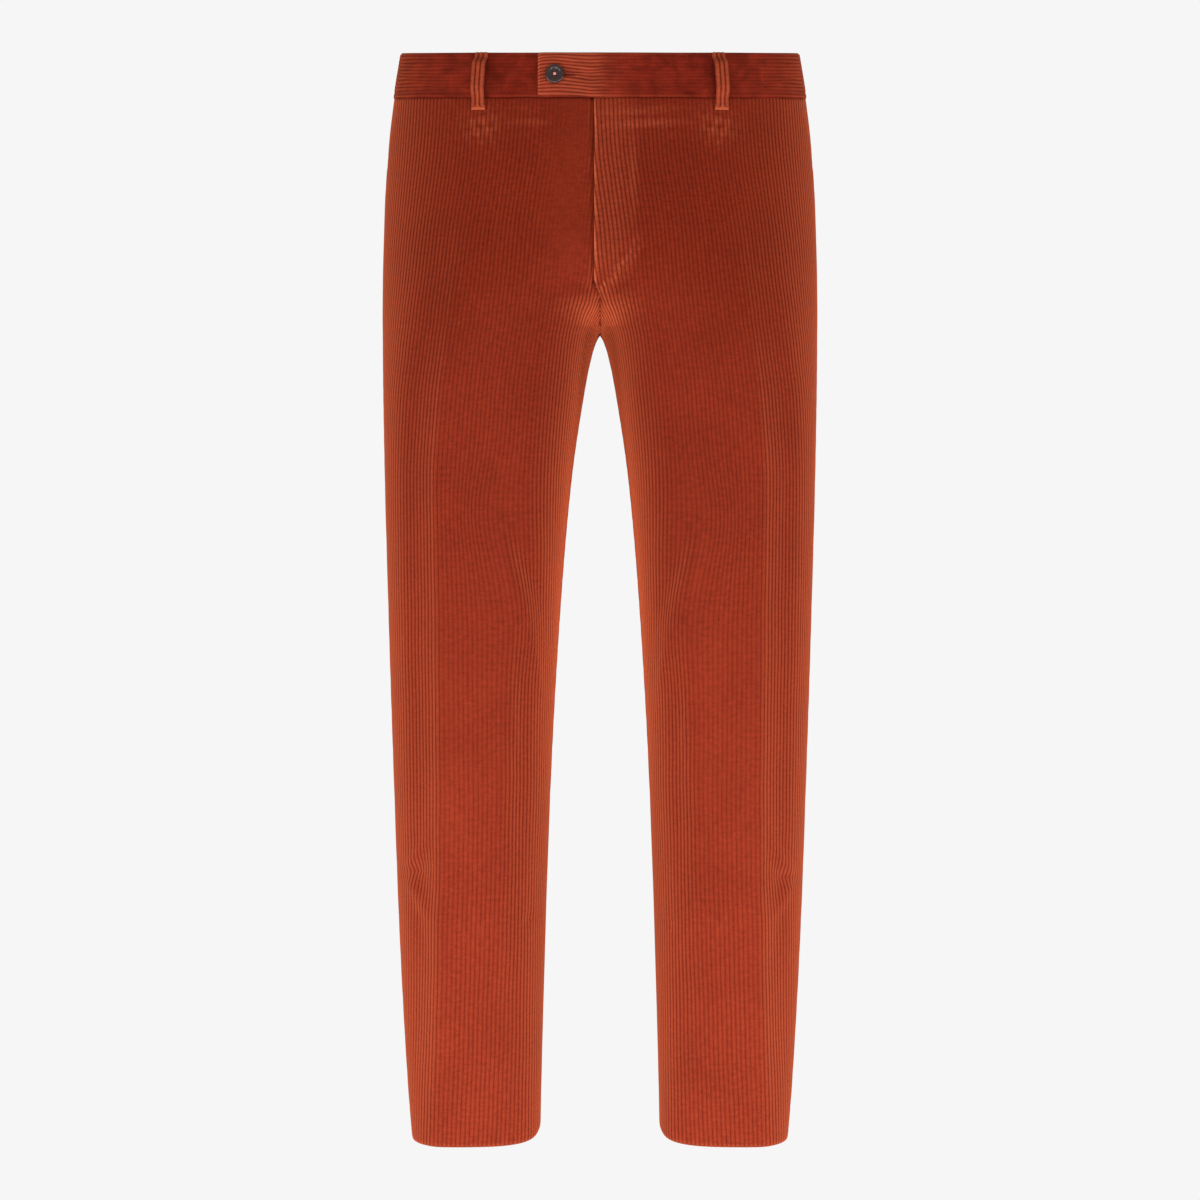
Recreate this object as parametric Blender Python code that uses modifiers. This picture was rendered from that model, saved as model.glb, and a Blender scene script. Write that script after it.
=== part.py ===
"""Corduroy trousers, filled out and upright, as panels of cloth sewn into a waistband.

Units are millimetres until a point leaves at_point(), which gives metres. The origin is the middle
of the waist opening, level with the top of the side seams. +Z is up, the front faces -Y, and the
wearer's left is +X.
"""
import math
from collections import namedtuple

import bmesh
import bpy
import numpy as np

MM = 0.001

# ---- Driving dimensions ----
OUTSEAM = 1052.7          # waist edge to hem, at the side
BAND_HEIGHT = 44.5        # waistband
CROTCH = 275.0            # waist edge to the crotch
WAIST_TILT = 0.2          # the back of the waist stands this much higher per mm of depth
TILT_END = 200.0          # depth at which the tilt has faded out
HEM_RISE = 6.5            # at the inseam the hem is about this much higher, and half more
SEAT_LIFT = 1.2           # of the depth, this much goes into the curve of the hip by there
SEAM = 0.3                # gap between two pieces at a seam
SLACK = 0.6               # more room where one layer only lies behind another
CLOTH = 2.0               # wall of one layer of corduroy
BAND_CLOTH = 3.0          # wall of the waistband, cloth folded double
HEM_CLOTH = 3.4           # wall where the hem is turned up
HEM_DEPTH = 35.0          # height of the turned-up hem
BAND_PROUD = 0.8          # the waistband stands out from the panels by this much
CREASE_HEIGHT = 2.0       # ridge down the front of each leg
CREASE_WIDTH = 13.0

FLY_EDGE = 5.4            # the left front laps this far past the centre
FLY_UNDER = 8.0           # the right front goes this far under it
FLY_BOTTOM = 236.0        # depth at which the lap ends
LAP_FADE = 10.0           # below its end the two edges come together over this depth
UNDER_BOTTOM = 222.0      # depth at which the right front starts to draw back from under it
LAP_DIP = CLOTH + SEAM + SLACK   # the right front goes down this far to pass under
DIP_START = 12.6          # the dip starts this far from the centre
DIP_DONE = 6.6            # and has its full depth here
TAB_REACH = 58.0          # waistband tab, past the centre
TAB_RAMP = 14.0           # where the tab starts to rise over the other half
BUTTON_REACH = 42.0       # button, past the centre
BUTTON_RADIUS = 9.1
BUTTON_HEIGHT = 3.2

MOUTH_SETBACK = 44.0      # slant pocket mouth, ahead of the side seam at the waistband
MOUTH_LENGTH = 140.0      # down to where it meets the side seam

LOOP_WIDTH = 12.8
LOOP_CLOTH = 1.6
LOOP_ROOM = 7.0           # room for a belt
LOOP_LEAN = 1.2           # the tops of the front loops lean this far towards the centre
LOOP_ASIDE = 1.0          # and their feet stand this far outside the crease
BACK_LOOP = 108.0         # side of the back, from the centre back

# One row per level. depth: below the waist edge. outer, inner: reach of one leg's section from the
# centre; inner is negative while the two sides are still one tube. front, back: reach forward and
# back. middle: where the section is widest, front to back. square: exponent of the section, 2 is an
# ellipse. crease: where the front crease runs. seam: side seam, behind the widest point.
Section = namedtuple("Section", "depth outer inner front back middle square crease seam")
SECTIONS = [Section(*row) for row in (
    (-10, 191.0, -191.0, 87, 90, 0, 2.45, 110, 8),
    (0, 192.2, -192.2, 88, 92, 0, 2.45, 111, 8),
    (44, 199.3, -199.3, 95, 100, 0, 2.40, 113, 8),
    (100, 205.4, -205.4, 103, 110, 0, 2.30, 116, 8),
    (150, 207.7, -197.0, 107, 118.5, 1, 2.25, 122, 7),
    (190, 208.9, -155.0, 108, 123.5, 4, 2.20, 127, 5),
    (225, 209.4, -80.0, 107, 125, 7, 2.20, 131, 4),
    (250, 209.4, -28.0, 106, 124, 9, 2.20, 134, 3),
    (262, 209.3, -10.5, 105, 122.8, 9.8, 2.20, 135.5, 2),
    (275, 209.1, 0.0, 104, 121, 10.5, 2.20, 137, 2),
    (280, 209.0, 3.2, 103.5, 120, 10.7, 2.20, 138, 1),
    (300, 208.8, 9.4, 101.5, 116, 11.4, 2.20, 141, 0),
    (340, 208.2, 17.0, 97.2, 107, 12, 2.30, 146, -2),
    (420, 206.8, 28.4, 91, 93, 11, 2.25, 151, -5),
    (550, 203.6, 39.3, 87, 80, 9, 2.10, 150, -8),
    (700, 199.0, 47.7, 84, 67, 6, 2.02, 149, -9),
    (850, 193.7, 53.1, 75, 61, 3, 2.02, 151, -9),
    (1000, 185.7, 57.2, 55, 51, 0, 2.45, 156, -8),
    (1070, 179.9, 58.6, 47, 47, 0, 2.90, 159, -8),
)]

# Depths of the rows of faces down a panel, closest together round the crotch.
PANEL_ROWS = (BAND_HEIGHT + SEAM / 2, 58, 84, 112, 146, 182, 206, UNDER_BOTTOM, FLY_BOTTOM,
              FLY_BOTTOM + LAP_FADE, 255, 262, 267, 271, 274, CROTCH + 1, 280, 287, 300, 325, 365,
              420, 485, 560, 640, 720, 800, 880, 955, 992, OUTSEAM - HEM_DEPTH - 0.5,
              OUTSEAM - HEM_DEPTH + 0.5, 1035, OUTSEAM)


# ---- The surface that every piece follows ----
def eased(amount):
    """0 to 1 with a soft start and end."""
    amount = np.clip(amount, 0.0, 1.0)
    return amount * amount * (3.0 - 2.0 * amount)


def column(name):
    return np.array([getattr(row, name) for row in SECTIONS], float)


def slopes(steps, values):
    """Slopes of a smooth curve through the table that never overshoots a row."""
    secants = np.diff(values) / steps
    inner = np.zeros(len(values))
    for i in range(1, len(values) - 1):
        before, after = secants[i - 1], secants[i]
        if before * after > 0:
            weight_a, weight_b = 2 * steps[i] + steps[i - 1], steps[i] + 2 * steps[i - 1]
            inner[i] = (weight_a + weight_b) / (weight_a / before + weight_b / after)
    inner[0], inner[-1] = secants[0], secants[-1]
    return inner


LEVELS = column("depth")
CURVES = {name: (column(name), slopes(np.diff(LEVELS), column(name))) for name in Section._fields[1:]}


def section(depth):
    """The table read smoothly at any depth."""
    i = int(np.clip(np.searchsorted(LEVELS, depth) - 1, 0, len(LEVELS) - 2))
    step = LEVELS[i + 1] - LEVELS[i]
    t = (depth - LEVELS[i]) / step
    read = {"depth": depth}
    for name, (values, slope) in CURVES.items():
        read[name] = ((1 + 2 * t) * (1 - t) ** 2 * values[i] + t * (1 - t) ** 2 * step * slope[i]
                      + t * t * (3 - 2 * t) * values[i + 1] + t * t * (t - 1) * step * slope[i + 1])
    return Section(**read)


def ring(depth):
    """Outer face of one side at a depth, from the centre front or inseam, round the side, to the
    centre back or inseam: x, y and the distance along it."""
    s = section(depth)
    centre, half = (s.outer + s.inner) / 2, (s.outer - s.inner) / 2
    end = math.pi
    if s.inner < 0:
        end -= math.acos(min(1.0, (max(centre, 0.0) / half) ** (s.square / 2)))
    angle = np.linspace(-end, end, 801)
    across, along = np.cos(angle), np.sin(angle)
    reach = np.where(along < 0, s.front - s.middle, s.back + s.middle)
    x = centre + half * np.sign(across) * np.abs(across) ** (2 / s.square)
    y = -s.middle + reach * np.sign(along) * np.abs(along) ** (2 / s.square)
    arc = np.concatenate(([0.0], np.cumsum(np.hypot(np.diff(x), np.diff(y)))))
    return x, y, arc


def marks(depth):
    """Distances round the ring of the front crease, the side seam and the far end."""
    x, y, arc = ring(depth)
    s = section(depth)
    widest = int(np.argmax(x))
    foremost = int(np.argmin(y))
    crease = np.interp(s.crease, x[foremost:widest + 1], arc[foremost:widest + 1])
    return crease, arc[widest] + s.seam, arc[-1]


def hem_rise(depth, from_inseam):
    """How far the hem is drawn up near the inseam."""
    rise = HEM_RISE * math.exp(-(from_inseam / 26) ** 2)
    rise += HEM_RISE / 2 * math.exp(-((from_inseam - 15) / 44) ** 2)
    return rise * eased((depth - OUTSEAM + 68) / 60)


def bare_point(depth, arc):
    """Point of the outer face of the left side. Past its end a leg's ring goes on round itself, and
    the trunk's goes on as the other side."""
    x, y, length = ring(depth)
    if depth > CROTCH:
        arc %= length[-1]
    crossed = arc < 0 or arc > length[-1]
    along = -arc if arc < 0 else (2 * length[-1] - arc if arc > length[-1] else arc)
    px, py = float(np.interp(along, length, x)), float(np.interp(along, length, y))
    below = eased(depth / TILT_END)
    return np.array((-px if crossed else px, py,
                     -depth + SEAT_LIFT * below + WAIST_TILT * (1 - below) * py
                     + hem_rise(depth, min(along, length[-1] - along))))


def surface(depth, arc, offset=0.0):
    """Point moved out from the cloth's outer face by offset, with the front crease on it."""
    down = bare_point(depth + 1, arc) - bare_point(depth - 1, arc)
    round_ = bare_point(depth, arc + 1) - bare_point(depth, arc - 1)
    normal = np.cross(round_, -down)
    normal /= np.linalg.norm(normal)
    crease = marks(depth)[0]
    ridge = CREASE_HEIGHT * math.exp(-((arc - crease) / CREASE_WIDTH) ** 2)
    ridge *= eased((depth - 150) / 200) * (1 - eased((depth - 930) / 120))
    return bare_point(depth, arc) + normal * (ridge + offset)


def wall(depth):
    return HEM_CLOTH if depth > OUTSEAM - HEM_DEPTH else CLOTH


# ---- Building in Blender ----
def clear_scene():
    for old in list(bpy.data.objects):
        bpy.data.objects.remove(old, do_unlink=True)


def new_collection(name):
    group = bpy.data.collections.new(name)
    bpy.context.scene.collection.children.link(group)
    return group


def new_material(name, colour, roughness):
    material = bpy.data.materials.new(name)
    material.use_nodes = True
    shader = material.node_tree.nodes["Principled BSDF"]
    shader.inputs["Base Color"].default_value = (*colour, 1.0)
    shader.inputs["Roughness"].default_value = roughness
    shader.inputs["Metallic"].default_value = 0.0
    material.diffuse_color = (*colour, 1.0)
    return material


def add_object(name, bm, collection, material):
    mesh = bpy.data.meshes.new(name)
    bm.to_mesh(mesh)
    bm.free()
    mesh.materials.append(material)
    mesh.shade_smooth()
    mesh.set_sharp_from_angle(angle=math.radians(40))
    thing = bpy.data.objects.new(name, mesh)
    collection.objects.link(thing)
    return thing


def at_point(point, side):
    """Millimetres on the left side to metres on the side asked for: 1 is left, -1 is right."""
    return (side * point[0] * MM, point[1] * MM, point[2] * MM)


def cloth(name, side, depths, arcs_at, material, outside=lambda depth, arc: 0.0, thick=wall,
          apart_below=OUTSEAM):
    """A wall of cloth: a grid laid on the surface, extruded and moved in by its thickness.
    arcs_at gives the distances round the ring of the columns of one row. Below apart_below the
    cloth stays on its own side of the centre."""
    rows = len(depths)
    table = [arcs_at(depth) for depth in depths]
    columns = len(table[0])
    bm = bmesh.new()
    bmesh.ops.create_grid(bm, x_segments=columns - 1, y_segments=rows - 1, size=1.0)
    place = {}
    for vert in bm.verts:
        i = round((vert.co.x + 1) / 2 * (columns - 1))
        j = round((vert.co.y + 1) / 2 * (rows - 1))
        place[vert] = (depths[j], table[j][i])
    outer = list(bm.verts)
    made = bmesh.ops.extrude_face_region(bm, geom=list(bm.faces), use_keep_orig=True)["geom"]
    inner = [item for item in made if isinstance(item, bmesh.types.BMVert)]
    twins = {tuple(vert.co): vert for vert in outer}
    pairs = [(twins[tuple(vert.co)], vert) for vert in inner]
    for face_vert, back_vert in pairs:
        depth, arc = place[face_vert]
        out = outside(depth, arc)
        for vert, offset in ((face_vert, out), (back_vert, out - thick(depth))):
            point = surface(depth, arc, offset)
            if depth > apart_below:
                point[0] = max(point[0], SEAM / 2)
            vert.co = at_point(point, side)
    bmesh.ops.recalc_face_normals(bm, faces=bm.faces)
    if bm.calc_volume(signed=True) < 0:
        bmesh.ops.reverse_faces(bm, faces=bm.faces)
    return add_object(name, bm, GARMENT, material)


# ---- Panels ----
def left_edge(depth):
    """Edge of the left front: past the centre down the fly, then at the centre or inseam."""
    return -FLY_EDGE + (FLY_EDGE + SEAM / 2) * float(np.clip((depth - FLY_BOTTOM) / LAP_FADE, 0, 1))


def right_edge(depth):
    """Edge of the right front: under the lap, drawing back to meet the other edge below it."""
    back = float(np.clip((depth - UNDER_BOTTOM) / (FLY_BOTTOM - UNDER_BOTTOM), 0, 1))
    if depth <= FLY_BOTTOM:
        return -FLY_UNDER + (FLY_UNDER + FLY_EDGE + SEAM) * back
    return SEAM - left_edge(depth)


def mouth(depth):
    """How far ahead of the side seam the pocket mouth cuts the front."""
    return MOUTH_SETBACK * float(np.clip(1 - (depth - BAND_HEIGHT) / MOUTH_LENGTH, 0, 1))


def front_arcs(edge):
    def arcs(depth):
        crease, seam, _ = marks(depth)
        side = seam - mouth(depth) - SEAM / 2
        return np.concatenate((np.linspace(side, crease, 6), np.linspace(crease, DIP_START, 6)[1:],
                               (DIP_DONE, edge(depth))))
    return arcs


def back_arcs(depth):
    _, seam, end = marks(depth)
    return np.linspace(end - SEAM / 2, seam + SEAM / 2, 12)


def under_lap(depth, arc):
    """The right front dips by a layer of cloth where the left one laps over it."""
    across = float(eased((DIP_START - arc) / (DIP_START - DIP_DONE)))
    return -LAP_DIP * across * (1 - float(eased((depth - FLY_BOTTOM) / LAP_FADE)))


def facing_arcs(depth):
    """From the side seam to the mouth, and on behind the front as far as its second column."""
    crease, seam, _ = marks(depth)
    side = seam - mouth(depth) - SEAM / 2
    return np.concatenate((np.linspace(seam - SEAM / 2, min(side, seam - 2), 4),
                           (side + (crease - side) / 5,)))


def under_front(depth, arc):
    return -(CLOTH + SEAM + SLACK)


def build_panels(cord):
    for name, side in (("left", 1), ("right", -1)):
        edge, lap = (left_edge, lambda depth, arc: 0.0) if side > 0 else (right_edge, under_lap)
        cloth("front_" + name, side, PANEL_ROWS, front_arcs(edge), cord, lap,
              apart_below=FLY_BOTTOM + LAP_FADE - 1)
        cloth("back_" + name, side, PANEL_ROWS, back_arcs, cord, apart_below=0)
        cloth("pocket_facing_" + name, side, PANEL_ROWS[:7], facing_arcs, cord, under_front)


# ---- Waistband ----
def over_lap(depth, arc):
    """The tab rises over the other half of the waistband past the centre."""
    return BAND_PROUD + (BAND_CLOTH + SEAM) * float(eased((TAB_RAMP - arc) / (TAB_RAMP + 4)))


def build_waistband(cord):
    rows = (0.0, BAND_HEIGHT / 2, BAND_HEIGHT - SEAM)

    def left_arcs(depth):
        end = marks(depth)[2]
        return np.concatenate((np.linspace(end - SEAM / 2, TAB_RAMP, 22), (8, 2, -4),
                               np.linspace(-4, -TAB_REACH, 5)[1:]))

    def right_arcs(depth):
        return np.linspace(marks(depth)[2] - SEAM / 2, 5.3, 22)

    cloth("waistband_left", 1, rows, left_arcs, cord, over_lap, lambda depth: BAND_CLOTH)
    cloth("waistband_right", -1, rows, right_arcs, cord, lambda depth, arc: BAND_PROUD,
          lambda depth: BAND_CLOTH)


# ---- Fly ----
ZIP_OUT = -(LAP_DIP + CLOTH + SEAM + SLACK)   # outer face of the zip's tape: behind both fronts
ZIP_CLOTH = 1.2
SHIELD_OUT = ZIP_OUT - ZIP_CLOTH - SEAM - SLACK
CHAIN = 14.0                          # the zip's chain, on the left side of the centre
SLIDER_THICK = 2.2


def build_fly(cord, tape, metal):
    top = BAND_HEIGHT + SEAM / 2
    rows = PANEL_ROWS[:8]
    across = np.linspace(26, -8, 5)
    cloth("fly_zip", 1, rows, lambda depth: across, tape,
          lambda depth, arc: ZIP_OUT, lambda depth: ZIP_CLOTH)
    cloth("fly_shield", 1, rows, lambda depth: np.concatenate(((34,), across, (-20,))), cord,
          lambda depth, arc: SHIELD_OUT)
    # The slider with its tab hanging from it: wide at the top, narrow at the tab.
    halves = ((top + 2, 4.2), (top + 12, 4.2), (top + 12.5, 2.5), (top + 32, 2.5))
    widths = dict(halves)
    cloth("zip_slider", 1, [depth for depth, _ in halves],
          lambda depth: np.linspace(CHAIN + widths[depth], CHAIN - widths[depth], 3), metal,
          lambda depth, arc: -LAP_DIP, lambda depth: SLIDER_THICK)


# ---- Belt loops ----
LOOP_LENGTH = 57.5


def front_loop(depth):
    """The middle of a front loop, which stands just outside the crease."""
    return marks(depth)[0] + LOOP_ASIDE - LOOP_LEAN * (1 - depth / LOOP_LENGTH)


def build_loops(cord):
    far = BAND_PROUD + LOOP_ROOM
    near = BAND_PROUD + 1.3 * SEAM
    path = ((1.0, near), (6.0, near), (12.0, far), (24.0, far), (38.0, far), (46.0, near),
            (LOOP_LENGTH, 1.3 * SEAM))
    depths = [depth for depth, _ in path]
    heights = dict(path)
    places = (
        (1, front_loop),
        (-1, front_loop),
        (1, lambda depth: marks(depth)[2] - BACK_LOOP),
        (-1, lambda depth: marks(depth)[2] - BACK_LOOP),
        (1, lambda depth: marks(depth)[2]),
    )
    for number, (side, middle) in enumerate(places, start=1):
        def arcs(depth, middle=middle):
            return middle(depth) + np.linspace(LOOP_WIDTH / 2, -LOOP_WIDTH / 2, 3)
        cloth("belt_loop_%d" % number, side, depths, arcs, cord,
              lambda depth, arc: heights[depth] + LOOP_CLOTH, lambda depth: LOOP_CLOTH)


# ---- Button ----
def build_button(horn):
    """A turned disc with a rim and a dished middle, drilled with four holes."""
    depth = BAND_HEIGHT / 2 + 0.9
    gap = over_lap(depth, -BUTTON_REACH) + 1.5 * SEAM
    foot = surface(depth, -BUTTON_REACH, gap)
    out = surface(depth, -BUTTON_REACH, gap + 1) - foot
    radius, height = BUTTON_RADIUS, BUTTON_HEIGHT
    profile = ((0.0, height - 1.0), (5.2, height - 1.0), (6.4, height - 0.1), (7.4, height),
               (8.5, height - 0.5), (radius, height - 1.4), (8.6, 0.6), (7.2, 0.0), (0.0, 0.0))
    bm = bmesh.new()
    verts = [bm.verts.new((r * MM, 0, z * MM)) for r, z in profile]
    for first, second in zip(verts, verts[1:]):
        bm.edges.new((first, second))
    disc = add_object("button", bm, GARMENT, horn)
    turn = disc.modifiers.new("turn", "SCREW")
    turn.steps = turn.render_steps = 32
    turn.use_merge_vertices = True
    turn.merge_threshold = 0.00001
    turn.use_normal_calculate = True

    drill = bmesh.new()
    for k in range(4):
        angle = math.radians(45 + 90 * k)
        spot = bmesh.ops.create_cone(drill, cap_ends=True, segments=12, radius1=0.9 * MM,
                                     radius2=0.9 * MM, depth=3 * height * MM)["verts"]
        bmesh.ops.translate(drill, verts=spot,
                            vec=(2.2 * MM * math.cos(angle), 2.2 * MM * math.sin(angle), 0))
    cutter = add_object("button_drill", drill, CUTTERS, horn)
    cutter.hide_render = True
    cutter.display_type = "WIRE"
    holes = disc.modifiers.new("holes", "BOOLEAN")
    holes.object = cutter
    holes.solver = "EXACT"

    swing = math.atan2(out[0], -out[1])
    lean = math.asin(out[2])
    for thing in (disc, cutter):
        thing.location = at_point(foot, 1)
        thing.rotation_euler = (math.pi / 2 - lean, 0, swing)


clear_scene()
GARMENT = new_collection("corduroy_trousers")
CUTTERS = new_collection("cutters")

rust_cord = new_material("rust corduroy", (0.32, 0.055, 0.025), 0.95)
zip_tape = new_material("zip tape", (0.16, 0.04, 0.02), 0.9)
brass = new_material("zip slider metal", (0.45, 0.33, 0.16), 0.4)
horn = new_material("dark horn button", (0.045, 0.024, 0.02), 0.35)

build_panels(rust_cord)
build_waistband(rust_cord)
build_fly(rust_cord, zip_tape, brass)
build_loops(rust_cord)
build_button(horn)
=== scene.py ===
# %% [markdown]
# # Wide-wale corduroy trousers
# Trousers are flat pieces of cloth sewn into two tubes and a band. Here each cut piece is its own
# thin shell, laid on the form that the frame gives, with the ribs of the corduroy as real ridges.

# %% Load the frame
import math
from collections import namedtuple

import bmesh
import bpy
import numpy as np
from mathutils import Matrix, Vector


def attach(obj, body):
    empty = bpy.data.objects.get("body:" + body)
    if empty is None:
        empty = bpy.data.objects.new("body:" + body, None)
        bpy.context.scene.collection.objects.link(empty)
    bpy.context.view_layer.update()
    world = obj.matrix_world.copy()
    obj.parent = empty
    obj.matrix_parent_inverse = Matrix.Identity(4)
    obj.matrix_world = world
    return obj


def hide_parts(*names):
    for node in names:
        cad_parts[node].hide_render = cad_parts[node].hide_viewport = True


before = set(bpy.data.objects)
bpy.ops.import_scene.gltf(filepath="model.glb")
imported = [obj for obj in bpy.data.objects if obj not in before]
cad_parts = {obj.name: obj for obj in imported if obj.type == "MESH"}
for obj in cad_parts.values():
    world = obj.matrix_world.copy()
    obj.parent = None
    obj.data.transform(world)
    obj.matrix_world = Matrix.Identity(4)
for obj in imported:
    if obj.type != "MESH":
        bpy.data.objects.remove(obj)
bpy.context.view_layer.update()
MM = 0.001

# %% [markdown]
# ## The form
# A tailor's dummy gives trousers their shape. Ours is a table of leg sections, one row per level,
# read smoothly in between. Every piece of cloth is placed by two numbers, how far down it is and
# how far round, so that neighbours always meet.

# %% Table of sections
OUTSEAM, BAND_HEIGHT, CROTCH = 1052.7, 44.5, 275.0
WAIST_TILT, TILT_END, SEAT_LIFT, HEM_RISE = 0.2, 200.0, 1.2, 6.5

# depth below the waist edge; reach of one leg outwards and inwards from the centre; reach forward
# and back; where it is widest; squareness; front crease; side seam behind the widest point.
SECTIONS = np.array((
    (-10, 191.0, -191.0, 87, 90, 0, 2.45, 110, 8),
    (0, 192.2, -192.2, 88, 92, 0, 2.45, 111, 8),
    (44, 199.3, -199.3, 95, 100, 0, 2.40, 113, 8),
    (100, 205.4, -205.4, 103, 110, 0, 2.30, 116, 8),
    (150, 207.7, -197.0, 107, 118.5, 1, 2.25, 122, 7),
    (190, 208.9, -155.0, 108, 123.5, 4, 2.20, 127, 5),
    (225, 209.4, -80.0, 107, 125, 7, 2.20, 131, 4),
    (250, 209.4, -28.0, 106, 124, 9, 2.20, 134, 3),
    (262, 209.3, -10.5, 105, 122.8, 9.8, 2.20, 135.5, 2),
    (275, 209.1, 0.0, 104, 121, 10.5, 2.20, 137, 2),
    (280, 209.0, 3.2, 103.5, 120, 10.7, 2.20, 138, 1),
    (300, 208.8, 9.4, 101.5, 116, 11.4, 2.20, 141, 0),
    (340, 208.2, 17.0, 97.2, 107, 12, 2.30, 146, -2),
    (420, 206.8, 28.4, 91, 93, 11, 2.25, 151, -5),
    (550, 203.6, 39.3, 87, 80, 9, 2.10, 150, -8),
    (700, 199.0, 47.7, 84, 67, 6, 2.02, 149, -9),
    (850, 193.7, 53.1, 75, 61, 3, 2.02, 151, -9),
    (1000, 185.7, 57.2, 55, 51, 0, 2.45, 156, -8),
    (1070, 179.9, 58.6, 47, 47, 0, 2.90, 159, -8),
), float)


def eased(amount):
    """0 to 1 with a soft start and end."""
    amount = np.clip(amount, 0.0, 1.0)
    return amount * amount * (3.0 - 2.0 * amount)


def bell(off, width):
    """1 where off is nothing, falling softly away on both sides over about width."""
    return np.exp(-(off / width) ** 2)


def slopes(steps, values):
    """Slopes of a smooth curve through a column that never overshoots a row."""
    secants = np.diff(values) / steps
    inner = np.zeros(len(values))
    for i in range(1, len(values) - 1):
        before, after = secants[i - 1], secants[i]
        if before * after > 0:
            weight_a, weight_b = 2 * steps[i] + steps[i - 1], steps[i] + 2 * steps[i - 1]
            inner[i] = (weight_a + weight_b) / (weight_a / before + weight_b / after)
    inner[0], inner[-1] = secants[0], secants[-1]
    return inner


def read_column(number, depths):
    """One column of the table at many depths."""
    levels, values = SECTIONS[:, 0], SECTIONS[:, number]
    steps = np.diff(levels)
    slope = slopes(steps, values)
    i = np.clip(np.searchsorted(levels, depths) - 1, 0, len(levels) - 2)
    step = steps[i]
    t = (depths - levels[i]) / step
    return ((1 + 2 * t) * (1 - t) ** 2 * values[i] + t * (1 - t) ** 2 * step * slope[i]
            + t * t * (3 - 2 * t) * values[i + 1] + t * t * (t - 1) * step * slope[i + 1])


# %% The form as a fine net
NET_DEPTHS = np.arange(-8.0, 1064.0, 1.0)
NET_ROUND = 1200
net_x = np.zeros((len(NET_DEPTHS), NET_ROUND + 1))
net_y = np.zeros_like(net_x)
girth, crease_at, seam_at, back_crease_at = (np.zeros(len(NET_DEPTHS)) for _ in range(4))
columns = [read_column(number, NET_DEPTHS) for number in range(1, 9)]
for row, (outer, inner, front, back, middle, square, crease, seam) in enumerate(zip(*columns)):
    centre, half = (outer + inner) / 2, (outer - inner) / 2
    end = math.pi
    if inner < 0:
        end -= math.acos(min(1.0, (max(centre, 0.0) / half) ** (square / 2)))
    angle = np.linspace(-end, end, 1601)
    across, along = np.cos(angle), np.sin(angle)
    reach = np.where(along < 0, front - middle, back + middle)
    x = centre + half * np.sign(across) * np.abs(across) ** (2 / square)
    y = -middle + reach * np.sign(along) * np.abs(along) ** (2 / square)
    arc = np.concatenate(([0.0], np.cumsum(np.hypot(np.diff(x), np.diff(y)))))
    girth[row] = arc[-1]
    at = np.linspace(0, arc[-1], NET_ROUND + 1)
    net_x[row], net_y[row] = np.interp(at, arc, x), np.interp(at, arc, y)
    widest, foremost, hindmost = int(np.argmax(x)), int(np.argmin(y)), int(np.argmax(y))
    crease_at[row] = np.interp(crease, x[foremost:widest + 1], arc[foremost:widest + 1])
    seam_at[row] = arc[widest] + seam
    back_side = slice(hindmost, widest - 1, -1)
    back_crease_at[row] = np.interp(crease, x[back_side], arc[back_side])
print("net", net_x.shape, "girth at hip %.0f, knee %.0f, hem %.0f mm" % (
    2 * np.interp(200, NET_DEPTHS, girth), np.interp(640, NET_DEPTHS, girth),
    np.interp(OUTSEAM, NET_DEPTHS, girth)))


# %% Reading the form
def at_depth(values, depth):
    """A measure of the form, such as its girth, at any depth."""
    return np.interp(depth, NET_DEPTHS, values)


def hem_rise(depth, from_inseam):
    """How far the hem is drawn up near the inseam."""
    rise = HEM_RISE * bell(from_inseam, 26)
    rise += HEM_RISE / 2 * bell(from_inseam - 15, 44)
    return rise * eased((depth - OUTSEAM + 68) / 60)


def bare(depth, arc):
    """Points of the left side's outer face. Past its end a leg's ring goes on round itself, and
    the trunk's goes on as the other side."""
    length = at_depth(girth, depth)
    arc = np.where(depth > CROTCH, arc % length, arc)
    crossed = (arc < 0) | (arc > length)
    along = np.where(arc < 0, -arc, np.where(arc > length, 2 * length - arc, arc))
    column = np.clip(along / length * NET_ROUND, 0, NET_ROUND - 1e-6)
    row = np.clip(depth - NET_DEPTHS[0], 0, len(NET_DEPTHS) - 1 - 1e-6)
    i, j = row.astype(int), column.astype(int)
    down, over = row - i, column - j

    def read(net):
        upper = net[i, j] * (1 - over) + net[i, j + 1] * over
        lower = net[i + 1, j] * (1 - over) + net[i + 1, j + 1] * over
        return upper * (1 - down) + lower * down

    px, py = read(net_x), read(net_y)
    below = eased(depth / TILT_END)
    height = -depth + SEAT_LIFT * below + WAIST_TILT * (1 - below) * py
    height = height + hem_rise(depth, np.minimum(along, length - along))
    return np.stack((np.where(crossed, -px, px), py, height), axis=-1)


def surface(depth, arc, offset=0.0):
    """Points moved straight out from the form by offset."""
    depth, arc = np.broadcast_arrays(np.asarray(depth, float), np.asarray(arc, float))
    down = bare(depth + 1.0, arc) - bare(depth - 1.0, arc)
    round_ = bare(depth, arc + 1.0) - bare(depth, arc - 1.0)
    normal = np.cross(round_, -down)
    normal /= np.linalg.norm(normal, axis=-1, keepdims=True)
    return bare(depth, arc) + normal * np.asarray(offset)[..., None]


def placed(points, side):
    """Millimetres on the left side to metres on the side asked for: 1 is left, -1 is right."""
    return points * np.array((side * MM, MM, MM))


# %% [markdown]
# ## Colours and a helper for nodes
# Colours are written as a screen shows them and turned to the linear values that Blender mixes.

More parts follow.
